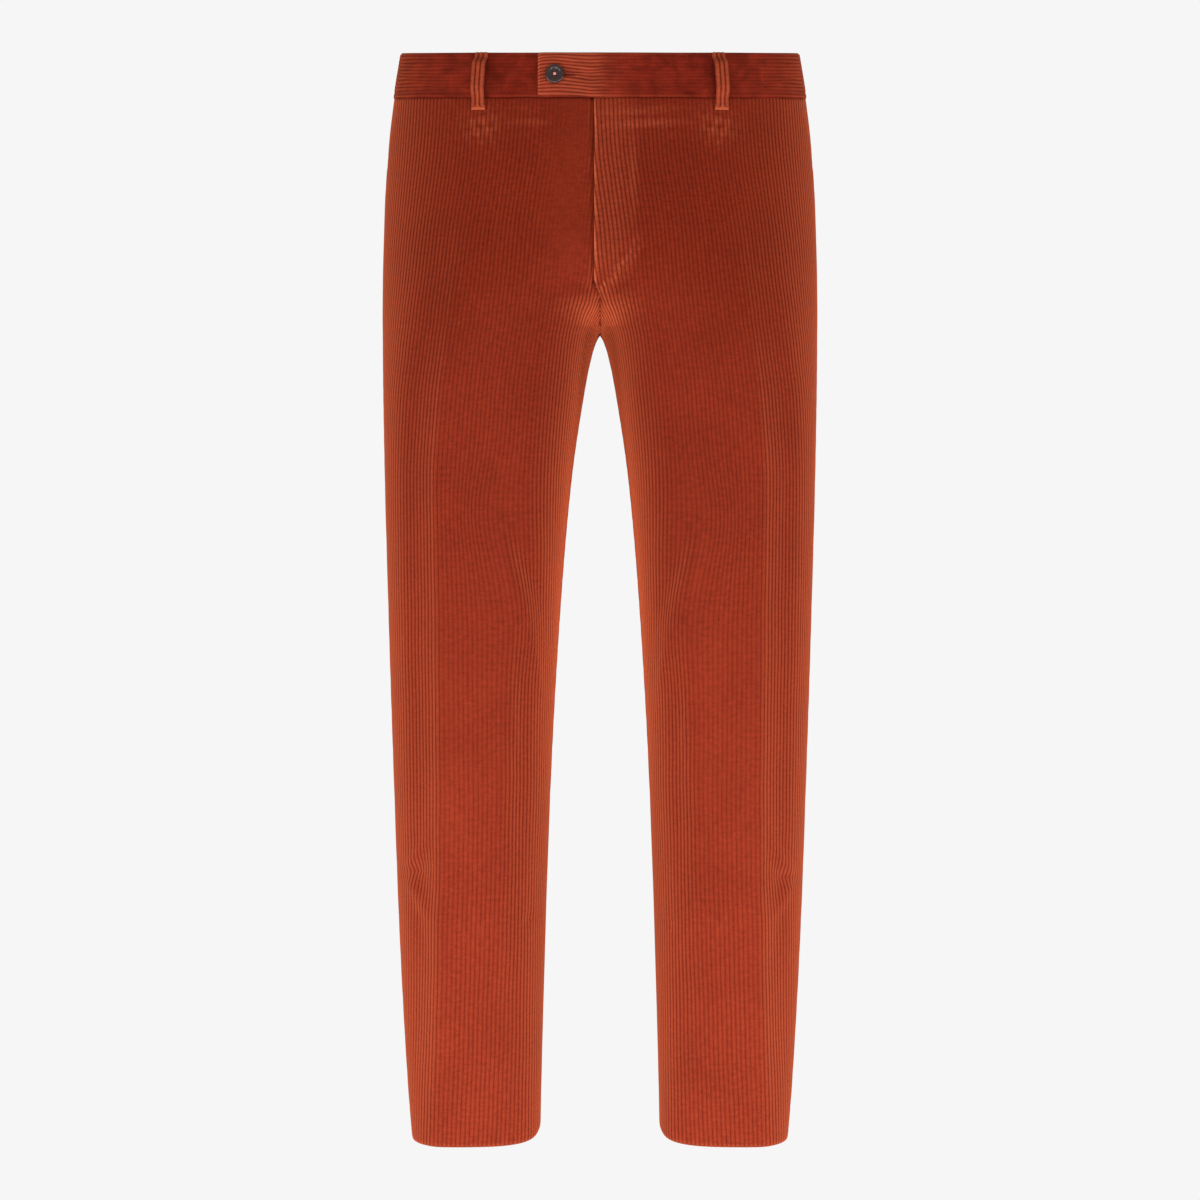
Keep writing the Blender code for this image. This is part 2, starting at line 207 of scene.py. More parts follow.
# %% Colour and node helpers
def linear(hex_colour):
    """#rrggbb to linear red, green, blue and an alpha of 1."""
    parts = [int(hex_colour[i:i + 2], 16) / 255 for i in (1, 3, 5)]
    return tuple(c / 12.92 if c <= 0.04045 else ((c + 0.055) / 1.055) ** 2.4 for c in parts) + (1.0,)


def add_node(tree, kind, inputs=None, output=0, **settings):
    """Adds one node and gives one of its outputs. An input is a value, or an output to link."""
    made = tree.nodes.new("ShaderNode" + kind)
    for name, value in settings.items():
        setattr(made, name, value)
    for name, value in (inputs or {}).items():
        if isinstance(value, bpy.types.NodeSocket):
            tree.links.new(value, made.inputs[name])
        else:
            made.inputs[name].default_value = value
    return made.outputs[output]


def new_finish(name, **shader_values):
    """A material with its shader's plain sockets set: the tree, the shader, and Object places."""
    finish = bpy.data.materials.new(name)
    finish.use_nodes = True
    tree = finish.node_tree
    shader = tree.nodes["Principled BSDF"]
    for socket, value in shader_values.items():
        shader.inputs[socket.replace("_", " ")].default_value = value
    return finish, tree, shader, add_node(tree, "TexCoord", output="Object")


# %% [markdown]
# ## Corduroy
# Cotton corduroy is a velvet cut in stripes. Tufts of cut pile stand in ribs, called wales, and the
# ground weave shows dark between them. Pile seen end on is deep in colour, and seen from the side
# it is pale. The ribs are real ridges. The material breaks the pile up into tufts, and it also
# paints light and shade: painted shade on the ground between the ribs, deepest where the cloth
# turns from the eye, and a painted sheen, pale, where it turns away. Its map runs across and along
# the wales.

# %% Corduroy finish
WALE = 4.0                 # mm; the map counts one rib each 4 mm
TUFT = 0.9                 # mm, one tuft of pile
NAP_PATCH = 70.0           # mm, patches brushed one way or the other


def corduroy_finish(name, ground, pile, rubbed, painted_sheen, streak, patch, patch_swing, face_on,
                    ends_clear):
    """ground shows between the ribs, partly as its own colour and partly as painted shade, pile on
    top of them, rubbed at worn edges, and a painted sheen where the cloth turns away. streak and
    patch are the sizes, in mm, of the nap's variations. face_on and ends_clear say how deep the
    painted shade between the ribs is where the cloth faces the eye, and at hips and calves."""
    finish, tree, shader, place = new_finish(
        name, Roughness=0.95, Sheen_Weight=0.05, Sheen_Roughness=0.4,
        Sheen_Tint=linear("#ff8a5c"), Specular_IOR_Level=0.02)
    cloth_map = add_node(tree, "UVMap", output="UV", uv_map="cloth")
    height = add_node(tree, "SeparateXYZ", {0: place}, "Z")

    # From 0 between two ribs to 1 on top of one.
    rib = add_node(tree, "SeparateXYZ", {0: cloth_map}, "X")
    for operation, *numbers in (("MULTIPLY", 2 * math.pi / (WALE * MM)), ("COSINE",),
                                ("MULTIPLY_ADD", -0.5, 0.5), ("POWER", 0.35)):
        rib = add_node(tree, "Math", dict(enumerate([rib] + numbers)), operation=operation)
    crown = add_node(tree, "Math", {0: rib, 1: 1.5}, operation="POWER")

    tufts = add_node(tree, "TexNoise", {"Vector": place, "Scale": 1 / (TUFT * MM), "Detail": 2.0})
    stretched = add_node(tree, "Mapping", {"Vector": cloth_map,
                                           "Scale": (0.6 / (WALE * MM), 1 / (streak * MM), 1.0)})
    streaks = add_node(tree, "TexNoise", {"Vector": stretched, "Scale": 1.0, "Detail": 3.0})
    patches = add_node(tree, "TexNoise", {"Vector": place, "Scale": 1 / (patch * MM), "Detail": 3.0,
                                          "Distortion": 0.6})
    strength = 1.0
    for noise, swing in ((streaks, 0.14), (tufts, 0.16), (patches, patch_swing)):
        share = add_node(tree, "MapRange", {"Value": noise, 1: 0.3, 2: 0.7, 3: 1 - swing, 4: 1 + swing})
        strength = add_node(tree, "Math", {0: strength, 1: share}, operation="MULTIPLY")

    # Painted shade between the ribs: where the cloth turns away from the eye, and at the hips and
    # calves, the ground between two ribs is painted deep, for the shade that falls there. Seen end on,
    # ribs and ground are nearly one colour. Worn places, and places painted lighter, show their ribs,
    # and where the rub attribute is below nothing the pile is brushed flat and the painted shade is less.
    facing = add_node(tree, "Attribute", output="Vector", attribute_name="facing")
    turned = add_node(tree, "LayerWeight", {"Blend": 0.5, "Normal": facing}, "Facing")
    rub_and_painted_light = add_node(tree, "Attribute", output="Fac", attribute_name="rub_and_painted_light")
    wear_and_painted_light = add_node(tree, "Math", {0: rub_and_painted_light, 1: 0.0}, operation="MAXIMUM")
    flat = add_node(tree, "Math", {0: rub_and_painted_light, 1: 0.0}, operation="MINIMUM")
    clear = add_node(tree, "Math", {0: wear_and_painted_light, 1: 0.6}, operation="MULTIPLY")
    for value, start, end, low, high in ((turned, 0.03, 0.26, face_on, 1.0),
                                         (height, -0.42, -0.16, 0.0, ends_clear),
                                         (height, -0.58, -0.84, 0.0, ends_clear)):
        there = add_node(tree, "MapRange", {"Value": value, 1: start, 2: end, 3: low, 4: high},
                         interpolation_type="SMOOTHSTEP")
        clear = add_node(tree, "Math", {0: clear, 1: there}, operation="MAXIMUM")
    clear = add_node(tree, "Math", {0: clear, 1: flat}, operation="ADD", use_clamp=True)
    shadow = add_node(tree, "Math", {0: 1.0, 1: rib}, operation="SUBTRACT")
    shadow = add_node(tree, "Math", {0: shadow, 1: clear}, operation="MULTIPLY")

    colour = add_node(tree, "Mix", {0: shadow, 6: linear(pile), 7: linear(ground)}, 2,
                      data_type="RGBA")
    colour = add_node(tree, "Mix", {0: 1.0, 6: colour, 7: strength}, 2, data_type="RGBA",
                      blend_type="MULTIPLY")
    # Painted light: the cloth is made a little paler towards the hems, for the low lights that fall more on
    # the lower legs.
    low = add_node(tree, "MapRange", {"Value": height, 1: -0.15, 2: -1.0, 3: 0.0, 4: 1.0})
    colour = add_node(tree, "Mix", {0: low, 6: colour, 7: linear("#dccac2")}, 2, data_type="RGBA",
                      blend_type="DIVIDE")
    # The crowns take the rubbed colour where worn, and where painted lighter.
    worn = add_node(tree, "Math", {0: streaks, 1: 0.25}, operation="ADD")
    for share in (wear_and_painted_light, crown):
        worn = add_node(tree, "Math", {0: worn, 1: share}, operation="MULTIPLY")
    colour = add_node(tree, "Mix", {0: worn, 6: colour, 7: linear(rubbed)}, 2, data_type="RGBA")
    # Painted sheen: the colour is made pale where the cloth turns away, first on the crowns and at the very
    # edge all over, as pile seen from its side looks; a paler tone where worn or painted lighter.
    lit = add_node(tree, "MapRange", {"Value": turned, 1: 0.08, 2: 0.80, 3: 0.0, 4: 0.62})
    thin = add_node(tree, "MapRange", {"Value": turned, 1: 0.6, 2: 1.0, 3: 0.0, 4: 1.0})
    on_pile = add_node(tree, "Math", {0: crown, 1: thin}, operation="MAXIMUM")
    amount = add_node(tree, "Math", {0: lit, 1: on_pile}, operation="MULTIPLY")
    glow = add_node(tree, "Mix", {0: wear_and_painted_light, 6: linear(painted_sheen), 7: linear("#cc5832")}, 2,
                    data_type="RGBA")
    colour = add_node(tree, "Mix", {0: amount, 6: colour, 7: glow}, 2, data_type="RGBA")
    tree.links.new(colour, shader.inputs["Base Color"])
    bump = add_node(tree, "Bump", {"Strength": 0.6, "Distance": 0.5 * MM, "Height": tufts})
    tree.links.new(bump, shader.inputs["Normal"])
    return finish


rust_pile = corduroy_finish("rust_cotton_corduroy_pile", "#450a03", "#5a1a0d", "#a04d31", "#a04c30",
                            3.2, NAP_PATCH, 0.07, 0.34, 0.55)
band_pile = corduroy_finish("rust_corduroy_waistband_pile", "#430b05", "#54150b", "#94442c",
                            "#8a3c24", 26.0, 15.0, 0.30, 0.1, 0.1)
print("corduroy", rust_pile.name, len(rust_pile.node_tree.nodes), "nodes")


# %% [markdown]
# ## The backs of the cloths, thread and the small hard parts
# The back of corduroy is a flat twill. The waistband is lined with plain cotton. Sewing thread is
# spun and twisted, the button is cast resin polished to look like horn, and the zip is brass.

# %% Twill back and cotton lining
BLOTCH = 16.7              # mm, uneven dye


def woven_finish(name, dark, light, thread, slant, sheen):
    """A flat weave: fine diagonal or square ribs on the cloth's own map, one each thread mm."""
    finish, tree, shader, place = new_finish(name, Roughness=0.9, Sheen_Weight=sheen,
                                             Sheen_Roughness=0.5, Specular_IOR_Level=0.2)
    cloth_map = add_node(tree, "UVMap", output="UV", uv_map="cloth")
    turned = add_node(tree, "Mapping", {"Vector": cloth_map, "Rotation": (0, 0, slant)})
    lines = add_node(tree, "TexWave", {"Vector": turned, "Scale": math.pi / (10 * thread * MM),
                                       "Distortion": 0.6, "Detail": 1.0, "Detail Scale": 2.0},
                     "Fac", bands_direction="X")
    blotch = add_node(tree, "TexNoise", {"Vector": place, "Scale": 1 / (BLOTCH * MM), "Detail": 4.0})
    uneven = add_node(tree, "Math", {0: blotch, 1: 0.4}, operation="MULTIPLY")
    amount = add_node(tree, "Math", {0: lines, 1: 0.6, 2: uneven}, operation="MULTIPLY_ADD")
    colour = add_node(tree, "Mix", {0: amount, 6: linear(dark), 7: linear(light)}, 2,
                      data_type="RGBA")
    tree.links.new(colour, shader.inputs["Base Color"])
    bump = add_node(tree, "Bump", {"Strength": 0.4, "Distance": 0.2 * MM, "Height": lines})
    tree.links.new(bump, shader.inputs["Normal"])
    return finish


# Real twill has a rib each 0.5 mm; it is drawn each 1.2 mm so that it shows.
twill_back = woven_finish("rust_twill_back_of_corduroy", "#6a1d10", "#8e3a26", 1.2, 0.9, 0.15)
cotton_lining = woven_finish("brown_cotton_waistband_lining", "#4a2a20", "#6d4636", 1.0, 0.0, 0.1)
zip_weave = woven_finish("dark_rust_polyester_zip_tape", "#43140b", "#6a2617", 0.9, 0.0, 0.0)


# %% Thread, horn-look resin and brass
def speckled_finish(name, dark, light, speck, detail=2.0, swirl=0.0, polish=None, **shader_values):
    """Colour, and where polish gives two roughnesses that too, varies in specks of speck mm."""
    finish, tree, shader, place = new_finish(name, **shader_values)
    specks = add_node(tree, "TexNoise", {"Vector": place, "Scale": 1 / (speck * MM),
                                         "Detail": detail, "Distortion": swirl})
    colour = add_node(tree, "Mix", {0: specks, 6: linear(dark), 7: linear(light)}, 2,
                      data_type="RGBA")
    tree.links.new(colour, shader.inputs["Base Color"])
    if polish:
        dull = add_node(tree, "MapRange", {"Value": specks, 3: polish[0], 4: polish[1]})
        tree.links.new(dull, shader.inputs["Roughness"])
    return finish


# Spun polyester has a soft shine and is darker in the grooves of its twist.
sewing_thread = speckled_finish("rust_polyester_sewing_thread", "#4a1208", "#7a2716", 0.555,
                                Roughness=0.7, Specular_IOR_Level=0.1)
button_thread = speckled_finish("dusty_pink_button_thread", "#9a5548", "#c98a7c", 0.555,
                                Roughness=0.6, Sheen_Weight=0.2)
# Resin is veined as horn is, and polished, so it has small sharp lights. Cast brass is satin.
horn_resin = speckled_finish("polished_dark_horn_polyester_resin", "#130808", "#2c1817", 3.85, 4.0,
                             1.2, (0.2, 0.34), IOR=1.54, Specular_IOR_Level=0.25)
zip_brass = speckled_finish("satin_die_cast_brass", "#8f6c3a", "#c9a566", 2.38, 3.0, 0.0,
                            (0.3, 0.5), Metallic=1.0)
print("finishes:", [m.name for m in bpy.data.materials][-8:])


# %% [markdown]
# ## How cloth hangs
# A stuffed pair of trousers still shows how it is worn. A crease is pressed down each leg, and the
# cloth is pulled or pushed together at the crotch, the knee and the calf. Each fold is a soft
# ridge or trough of its own length, width and height, given one by one, and the two sides differ.

# %% Folds
# side: 1 left, -1 right, 0 both. depth and across: its middle, in mm down from the waist edge and
# out from the crease towards the side seam. lean: degrees from upright, its foot outwards.
Fold = namedtuple("Fold", "side depth across length width height lean")

FRONT_FOLDS = [Fold(*row) for row in (
    # gathers under the belt loops
    (0, 72, -5, 26, 2.6, -1.6, 4), (0, 76, 4, 20, 3.0, 1.2, -6), (0, 68, -15, 22, 3.5, -1.1, 10),
    (-1, 66, 22, 20, 4.0, -0.5, -8), (1, 70, 26, 24, 4.0, -0.45, -5),
    # print of the pocket bag's stitching
    (-1, 76, -84, 17, 3.6, -0.7, 88), (1, 92, -92, 14, 4.5, -0.4, 80),
    # pulls from the hip towards the fork
    (-1, 176, -60, 60, 12, -0.9, -42), (1, 184, -66, 56, 13, -0.8, -40),
    (-1, 215, -88, 48, 8, 0.9, -50), (1, 222, -92, 44, 9, 0.8, -48),
    (-1, 236, -112, 40, 6, -2.4, -54), (1, 240, -115, 38, 6, -2.4, -52),
    (-1, 252, -128, 30, 4.5, 2.0, -58), (1, 250, -126, 30, 4.5, 1.8, -60),
    (-1, 266, -150, 26, 4.0, -1.5, -50), (1, 268, -152, 26, 4.0, -1.4, -46),
    (0, 290, -150, 40, 9, -1.2, -32), (-1, 320, -120, 60, 12, 0.8, -24), (1, 330, -118, 66, 13, 0.9, -22),
    # long soft falls down the thigh
    (-1, 380, -62, 150, 20, -0.8, -6), (1, 372, -58, 160, 21, -0.8, -7),
    (-1, 360, 36, 150, 18, -0.7, 4), (1, 384, 34, 140, 17, -0.7, 3),
    # pushed together at the inside of the knee
    (-1, 488, -62, 90, 15, 3.4, -25), (1, 494, -63, 88, 15, 3.2, -24),
    (-1, 500, -84, 84, 13, -3.6, -25), (1, 506, -85, 82, 13, -3.4, -24),
    (-1, 452, -38, 70, 12, -1.8, -25), (1, 458, -40, 66, 12, -1.6, -26),
    (-1, 590, -98, 60, 7, 1.6, -14), (1, 594, -99, 58, 7, 1.5, -15),
    (-1, 690, -57, 190, 12, 1.5, 1), (1, 696, -58, 184, 12, 1.5, 2),
    (-1, 688, -80, 170, 10, -1.7, 0), (1, 694, -81, 166, 10, -1.7, 1),
    (-1, 640, -70, 50, 5, 0.9, -10), (1, 646, -71, 48, 5, 0.9, -11),
    # pinched at the outside of the calf
    (-1, 772, 30, 34, 7, 2.2, 46), (1, 778, 30, 34, 7, 2.0, 44),
    (-1, 790, 36, 36, 6, -3.2, 74), (1, 795, 36, 34, 6, -3.0, 76),
    (-1, 812, 30, 38, 8, 2.4, -38), (1, 815, 31, 36, 8, 2.2, -36),
    (-1, 850, 24, 60, 10, -0.9, -12), (1, 846, 22, 66, 10, -0.9, -11),
    # small pulls at the inseam and above the hem
    (-1, 836, -92, 12, 4, -1.3, 70), (1, 842, -92, 10, 4, -1.1, 66),
    (-1, 905, -70, 80, 12, -0.8, 9), (1, 912, -72, 76, 12, -0.8, 8),
    (-1, 985, -40, 60, 14, 0.7, 5), (1, 978, -42, 66, 14, 0.7, 6),
)]
BACK_FOLDS = [Fold(*row) for row in (
    (-1, 150, -40, 60, 18, -0.8, 38), (1, 158, -44, 58, 18, -0.8, 36),
    (-1, 232, -64, 60, 11, -1.4, -48), (1, 238, -62, 58, 11, -1.3, -46),
    (-1, 262, -96, 52, 8, 1.3, -52), (1, 266, -98, 50, 8, 1.2, -50),
    (-1, 300, -70, 66, 10, -1.9, -62), (1, 306, -72, 62, 10, -1.8, -64),
    (-1, 334, -20, 70, 12, -1.5, -74), (1, 342, -24, 66, 12, -1.4, -76),
    (-1, 356, 10, 60, 12, 1.1, 80), (1, 362, 6, 64, 12, 1.1, 78),
    (-1, 420, -50, 110, 18, -0.8, -8), (1, 430, -48, 100, 18, -0.8, -9),
    (-1, 536, -16, 44, 8, 1.4, 64), (1, 542, -14, 42, 8, 1.3, 66),
    (-1, 556, -8, 52, 7, -2.1, 76), (1, 561, -10, 50, 7, -2.0, 74),
    (-1, 578, 6, 50, 8, 1.7, -72), (1, 582, 4, 52, 8, 1.6, -70),
    (-1, 600, 16, 46, 7, -1.8, -62), (1, 604, 14, 44, 7, -1.7, -64),
    (-1, 636, -24, 40, 9, -1.1, 40), (1, 640, -22, 42, 9, -1.1, 42),
    (-1, 780, -30, 46, 9, -1.3, 58), (1, 786, -28, 44, 9, -1.2, 56),
    (-1, 804, -14, 44, 9, 1.1, -60), (1, 808, -16, 42, 9, 1.0, -58),
    (-1, 900, 30, 80, 13, -0.8, -6), (1, 910, 28, 76, 13, -0.8, -7),
)]

# The same kind of row, but it moves the ribs sideways instead of the cloth outwards.
Drift = namedtuple("Drift", "side depth across length width shift")
FRONT_DRIFTS = [Drift(*row) for row in (
    (-1, 452, -52, 46, 30, 8.5), (1, 458, -53, 46, 30, 8.0),
    (-1, 556, -72, 50, 26, -7.0), (1, 562, -73, 50, 26, -6.6),
    (-1, 792, 28, 34, 22, -3.4), (1, 796, 28, 32, 22, -3.2),
    (-1, 850, 26, 40, 20, 1.6), (1, 856, 26, 40, 20, 1.6),
    (-1, 74, 0, 26, 10, 1.2), (1, 74, 0, 26, 10, 1.1),
)]
BACK_DRIFTS = [Drift(*row) for row in (
    (-1, 570, 0, 40, 30, 3.0), (1, 576, 0, 40, 30, -2.8),
    (-1, 310, -60, 40, 30, 2.6), (1, 316, -58, 40, 30, 2.6),
    (-1, 796, -20, 36, 26, -2.4), (1, 800, -20, 36, 26, -2.4),
)]


def fold_height(folds, side, depth, across):
    total = np.zeros_like(depth)
    for fold in folds:
        if fold.side in (0, side):
            lean = math.radians(fold.lean)
            down, out = depth - fold.depth, across - fold.across
            along = down * math.cos(lean) + out * math.sin(lean)
            aside = out * math.cos(lean) - down * math.sin(lean)
            total += fold.height * bell(aside, fold.width) * (1 - eased(np.abs(along) / fold.length))
    return total


def drift_shift(drifts, side, depth, across):
    total = np.zeros_like(depth)
    for drift in drifts:
        if drift.side in (0, side):
            total += (drift.shift * bell(depth - drift.depth, drift.length)
                      * bell(across - drift.across, drift.width))
    return total


# The pressed crease: a ridge that drops away faster on its outer side.
CREASE_RISE, CREASE_OUTSIDE, CREASE_INSIDE = 4.2, 8.0, 20.0
HOLLOW, HOLLOW_ACROSS, HOLLOW_WIDTH = -2.6, 26.0, 15.0


def pressed_crease(depth, across, amount):
    width = np.where(across > 0, CREASE_OUTSIDE, CREASE_INSIDE)
    ridge = CREASE_RISE / (1 + (across / width) ** 2) ** 1.5
    ridge = ridge - 0.9 * bell(across - 1.0, 1.3)
    hollow = HOLLOW * bell(across - HOLLOW_ACROSS, HOLLOW_WIDTH)
    fade = eased((depth - 140) / 260) * (1 - 0.6 * eased((depth - 930) / 120))
    return (ridge + hollow) * fade * amount


print("folds:", len(FRONT_FOLDS), "front,", len(BACK_FOLDS), "back")


# %% [markdown]
# ## Making a wall of cloth
# A grid is extruded once, so that it has a face, a back and an edge all round, and then every
# point is laid on the form. Columns follow the ribs, four to a rib. Where a piece is cut across
# its ribs, the columns beyond the cut run together, and merging by distance cleans them up.

# %% The wall of cloth
SEAM_GAP = 0.01            # mm, half the gap left between two pieces that meet
RIB_STEPS = (0.0, 0.15, 0.5, 0.85)   # where a rib has its columns: ground, shoulder, top, shoulder
RIB_HEIGHT = 0.85          # mm, top of a rib above the ground between ribs
garment = bpy.data.collections.new("corduroy_trousers_looks")
bpy.context.scene.collection.children.link(garment)


def rib_profile(count):
    """0 on the ground between two ribs, 1 on top: steep shoulders and a round top."""
    return np.abs(np.sin(np.pi * count)) ** 0.55


def mesh_of(name, bm):
    """A mesh made of the bmesh, which is used up."""
    mesh = bpy.data.meshes.new(name)
    bm.to_mesh(mesh)
    bm.free()
    return mesh


def finish_object(name, mesh, finishes):
    """Puts a mesh in the scene as a piece of the garment."""
    for finish in finishes:
        mesh.materials.append(finish)
    mesh.shade_smooth()
    mesh.set_sharp_from_angle(angle=math.radians(78))
    thing = bpy.data.objects.new(name, mesh)
    garment.objects.link(thing)
    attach(thing, "root")
    print("%s: %d triangles" % (name, sum(len(p.vertices) - 2 for p in mesh.polygons)))
    return thing


def facing_out(depth, arc, form):
    """Which way the cloth faces as a whole, with its folds but without its ribs."""
    plain = surface(depth, arc, 1.0) - surface(depth, arc)

    def moved(down, round_):
        return (bare(depth + down, arc + round_)
                + plain * form(depth + down, arc + round_)[..., None])

    normal = np.cross(moved(0, 2) - moved(0, -2), moved(-2, 0) - moved(2, 0))
    length = np.linalg.norm(normal, axis=-1, keepdims=True)
    return np.where(length > 1e-3, normal / np.maximum(length, 1e-3), plain)


def wall_of_cloth(name, side, depth, arc, face, back, over, along, rub_and_painted_light, finishes,
                  centre_column=None, apart=0.0, form=None):
    """All the tables have one row per row of the grid. face and back are the offsets of the two
    layers from the form, over and along the cloth's own map in mm. centre_column is the column on
    the garment's centre line, which below apart is kept straight, for the seam there. form gives
    the folds alone, for the way the pile faces."""
    rows, count = depth.shape
    bm = bmesh.new()
    bmesh.ops.create_grid(bm, x_segments=count - 1, y_segments=rows - 1, size=0.5)
    made = bmesh.ops.extrude_face_region(bm, geom=list(bm.faces), use_keep_orig=True)["geom"]
    for item in made:
        if isinstance(item, bmesh.types.BMFace):
            item.material_index = 1
    bmesh.ops.translate(bm, verts=[v for v in made if isinstance(v, bmesh.types.BMVert)],
                        vec=(0, 0, -1))
    mesh = mesh_of(name, bm)

    flat = np.zeros(len(mesh.vertices) * 3)
    mesh.vertices.foreach_get("co", flat)
    flat = flat.reshape(-1, 3)
    i = np.rint((flat[:, 0] + 0.5) * (count - 1)).astype(int)
    j = np.rint((flat[:, 1] + 0.5) * (rows - 1)).astype(int)
    layers = []
    for offset in (face, back):
        points = surface(depth, arc, offset)
        if centre_column is not None:
            astray = points[:, centre_column, 0] - SEAM_GAP
            near = np.abs(arc - arc[:, [centre_column]])
            pull = (1 - eased(near / 7.0)) * ((depth > apart) & (depth <= CROTCH + 1))
            points[..., 0] -= astray[:, None] * pull
            points[..., 0] = np.where(depth > apart, np.maximum(points[..., 0], SEAM_GAP), points[..., 0])
        layers.append(points)
    points = np.where((flat[:, 2] < -0.5)[:, None], layers[1][j, i], layers[0][j, i])
    mesh.vertices.foreach_set("co", placed(points, side).ravel())
    for label, table in (("over", over), ("along", along), ("rub_and_painted_light", rub_and_painted_light)):
        values = mesh.attributes.new(label, "FLOAT", "POINT")
        values.data.foreach_set("value", table[j, i].astype(np.float32))

    facing = facing_out(depth, arc, form or (lambda down, round_: 0.0 * down))
    values = mesh.attributes.new("facing", "FLOAT_VECTOR", "POINT")
    values.data.foreach_set("vector", (facing[j, i] * (side, 1, 1)).astype(np.float32).ravel())

    bm = bmesh.new()
    bm.from_mesh(mesh)
    bmesh.ops.remove_doubles(bm, verts=bm.verts, dist=2e-6)
    bmesh.ops.dissolve_degenerate(bm, edges=bm.edges, dist=1e-6)
    bmesh.ops.recalc_face_normals(bm, faces=bm.faces)
    if bm.calc_volume(signed=True) < 0:
        bmesh.ops.reverse_faces(bm, faces=bm.faces)
    bm.to_mesh(mesh)
    bm.free()

    corners = np.zeros(len(mesh.loops), np.int32)
    mesh.loops.foreach_get("vertex_index", corners)
    read = {}
    for label in ("over", "along"):
        read[label] = np.zeros(len(mesh.vertices), np.float32)
        mesh.attributes[label].data.foreach_get("value", read[label])
    cloth_map = mesh.uv_layers.new(name="cloth")
    pairs = np.stack((read["over"][corners], read["along"][corners]), axis=1) * MM
    cloth_map.data.foreach_set("uv", pairs.astype(np.float32).ravel())
    for label in ("over", "along"):
        mesh.attributes.remove(mesh.attributes[label])
    return finish_object(name, mesh, finishes)


def cut_size(depth, arc):
    """Flat size of a piece from its form: width, length and area, in metres."""
    points = surface(depth, arc)
    across = np.linalg.norm(np.diff(points, axis=1), axis=2)
    down = np.linalg.norm(np.diff(points, axis=0), axis=2)
    cross = np.cross(points[1:, :-1] - points[:-1, :-1], points[:-1, 1:] - points[:-1, :-1])
    other = np.cross(points[:-1, 1:] - points[1:, 1:], points[1:, :-1] - points[1:, 1:])
    area = (np.linalg.norm(cross, axis=2).sum() + np.linalg.norm(other, axis=2).sum()) / 2
    return across.sum(axis=1).max() * MM, down.sum(axis=0).max() * MM, area * MM * MM


def declare_sheet(thing, width, length, area, rests_on, with_pieces=()):
    """Prints the cut's size. A rectangle that holds the piece is never smaller than its area."""
    print("  cut %.0f x %.0f mm, %.4f m2" % (width / MM, length / MM, area))


# %% [markdown]
# ## The four panels
# Each leg is a front and a back, joined at the side and the inside, and both sides meet at the
# centre. The ribs run with the crease, so they are cut off along the curved seams. A seam turns
# the edge under, which leaves a soft groove.

# %% Shared sizes of the panels
FLY_EDGE, FLY_UNDER, FLY_BOTTOM, LAP_FADE, UNDER_BOTTOM = 5.4, 8.0, 236.0, 10.0, 222.0
LAP_DIP, DIP_START, DIP_DONE = 2.9, 12.6, 6.6
MOUTH_SETBACK, MOUTH_LENGTH = 44.0, 140.0
HEM_DEPTH = 35.0
BAND_PRESS = 46.0          # where the band's seam presses the panels flat
RIB_WANDER = 0.30          # mm, how far a rib strays
CLOTH_BACK = 1.75          # mm from the form to the back of one layer
HEM_BACK = 3.2             # and where the hem is turned up

# From this depth down, a row of faces each so many mm: closer where there are small folds.
ROW_STEPS = ((47, 4.6), (110, 7.0), (194, 3.5), (305, 5.5), (360, 10.0), (530, 7.2), (650, 10.0),
             (750, 6.5), (840, 10.0), (1012, 6.0))
panel_rows = np.unique(np.concatenate(
    [(BAND_HEIGHT - 4, BAND_HEIGHT - 0.4, BAND_HEIGHT + 0.1)]
    + [np.arange(top, end, step) for (top, step), (end, _) in zip(ROW_STEPS, ROW_STEPS[1:])]
    + [(1012, 1018, 1019.5, 1024, 1034, 1043, 1048, 1051, OUTSEAM)]))
print(len(panel_rows), "rows of faces down a panel")


def tucked_in(depth):
    """The top of a panel is sewn in behind the waistband."""
    return 2.7 * eased((BAND_HEIGHT + 0.1 - depth) / 0.5)


def rib_pitch(depth):
    """Rib to rib, mm: the cloth is eased in at the hip and lies full width on the lower leg."""
    return np.interp(depth, (42, 300, 700, 1052), (3.92, 4.05, 4.42, 4.25))


def mouth(depth):
    """How far ahead of the side seam the pocket mouth cuts the front."""
    return MOUTH_SETBACK * np.clip(1 - (depth - BAND_HEIGHT) / MOUTH_LENGTH, 0, 1)


def rib_counts(first, last):
    """Columns, or a band's rows, from rib to rib, counted in ribs."""
    return (np.arange(first, last)[:, None] + np.array(RIB_STEPS)).ravel()


def rib_columns(depth, grain, low, high):
    """Columns on the ribs between two cut edges: arc, and the count of ribs from the crease."""
    pitch = rib_pitch(depth)
    first = math.floor(((low - grain) / pitch).min())
    last = math.ceil(((high - grain) / pitch).max())
    count = np.append(rib_counts(first, last), last)[None, :]
    return grain[:, None] + count * pitch[:, None], count + np.zeros((len(depth), 1)), pitch


def meander(depth, count, amount):
    """Ribs are never quite straight: three slow waves, out of step from rib to rib."""
    return amount * (np.sin(depth / 13.0 + 0.9 * np.sin(count * 0.31)) * 0.5
                     + np.sin(depth / 31.0 + count * 0.23) * 0.6
                     + np.sin(depth / 7.3 + count * 1.7) * 0.28)


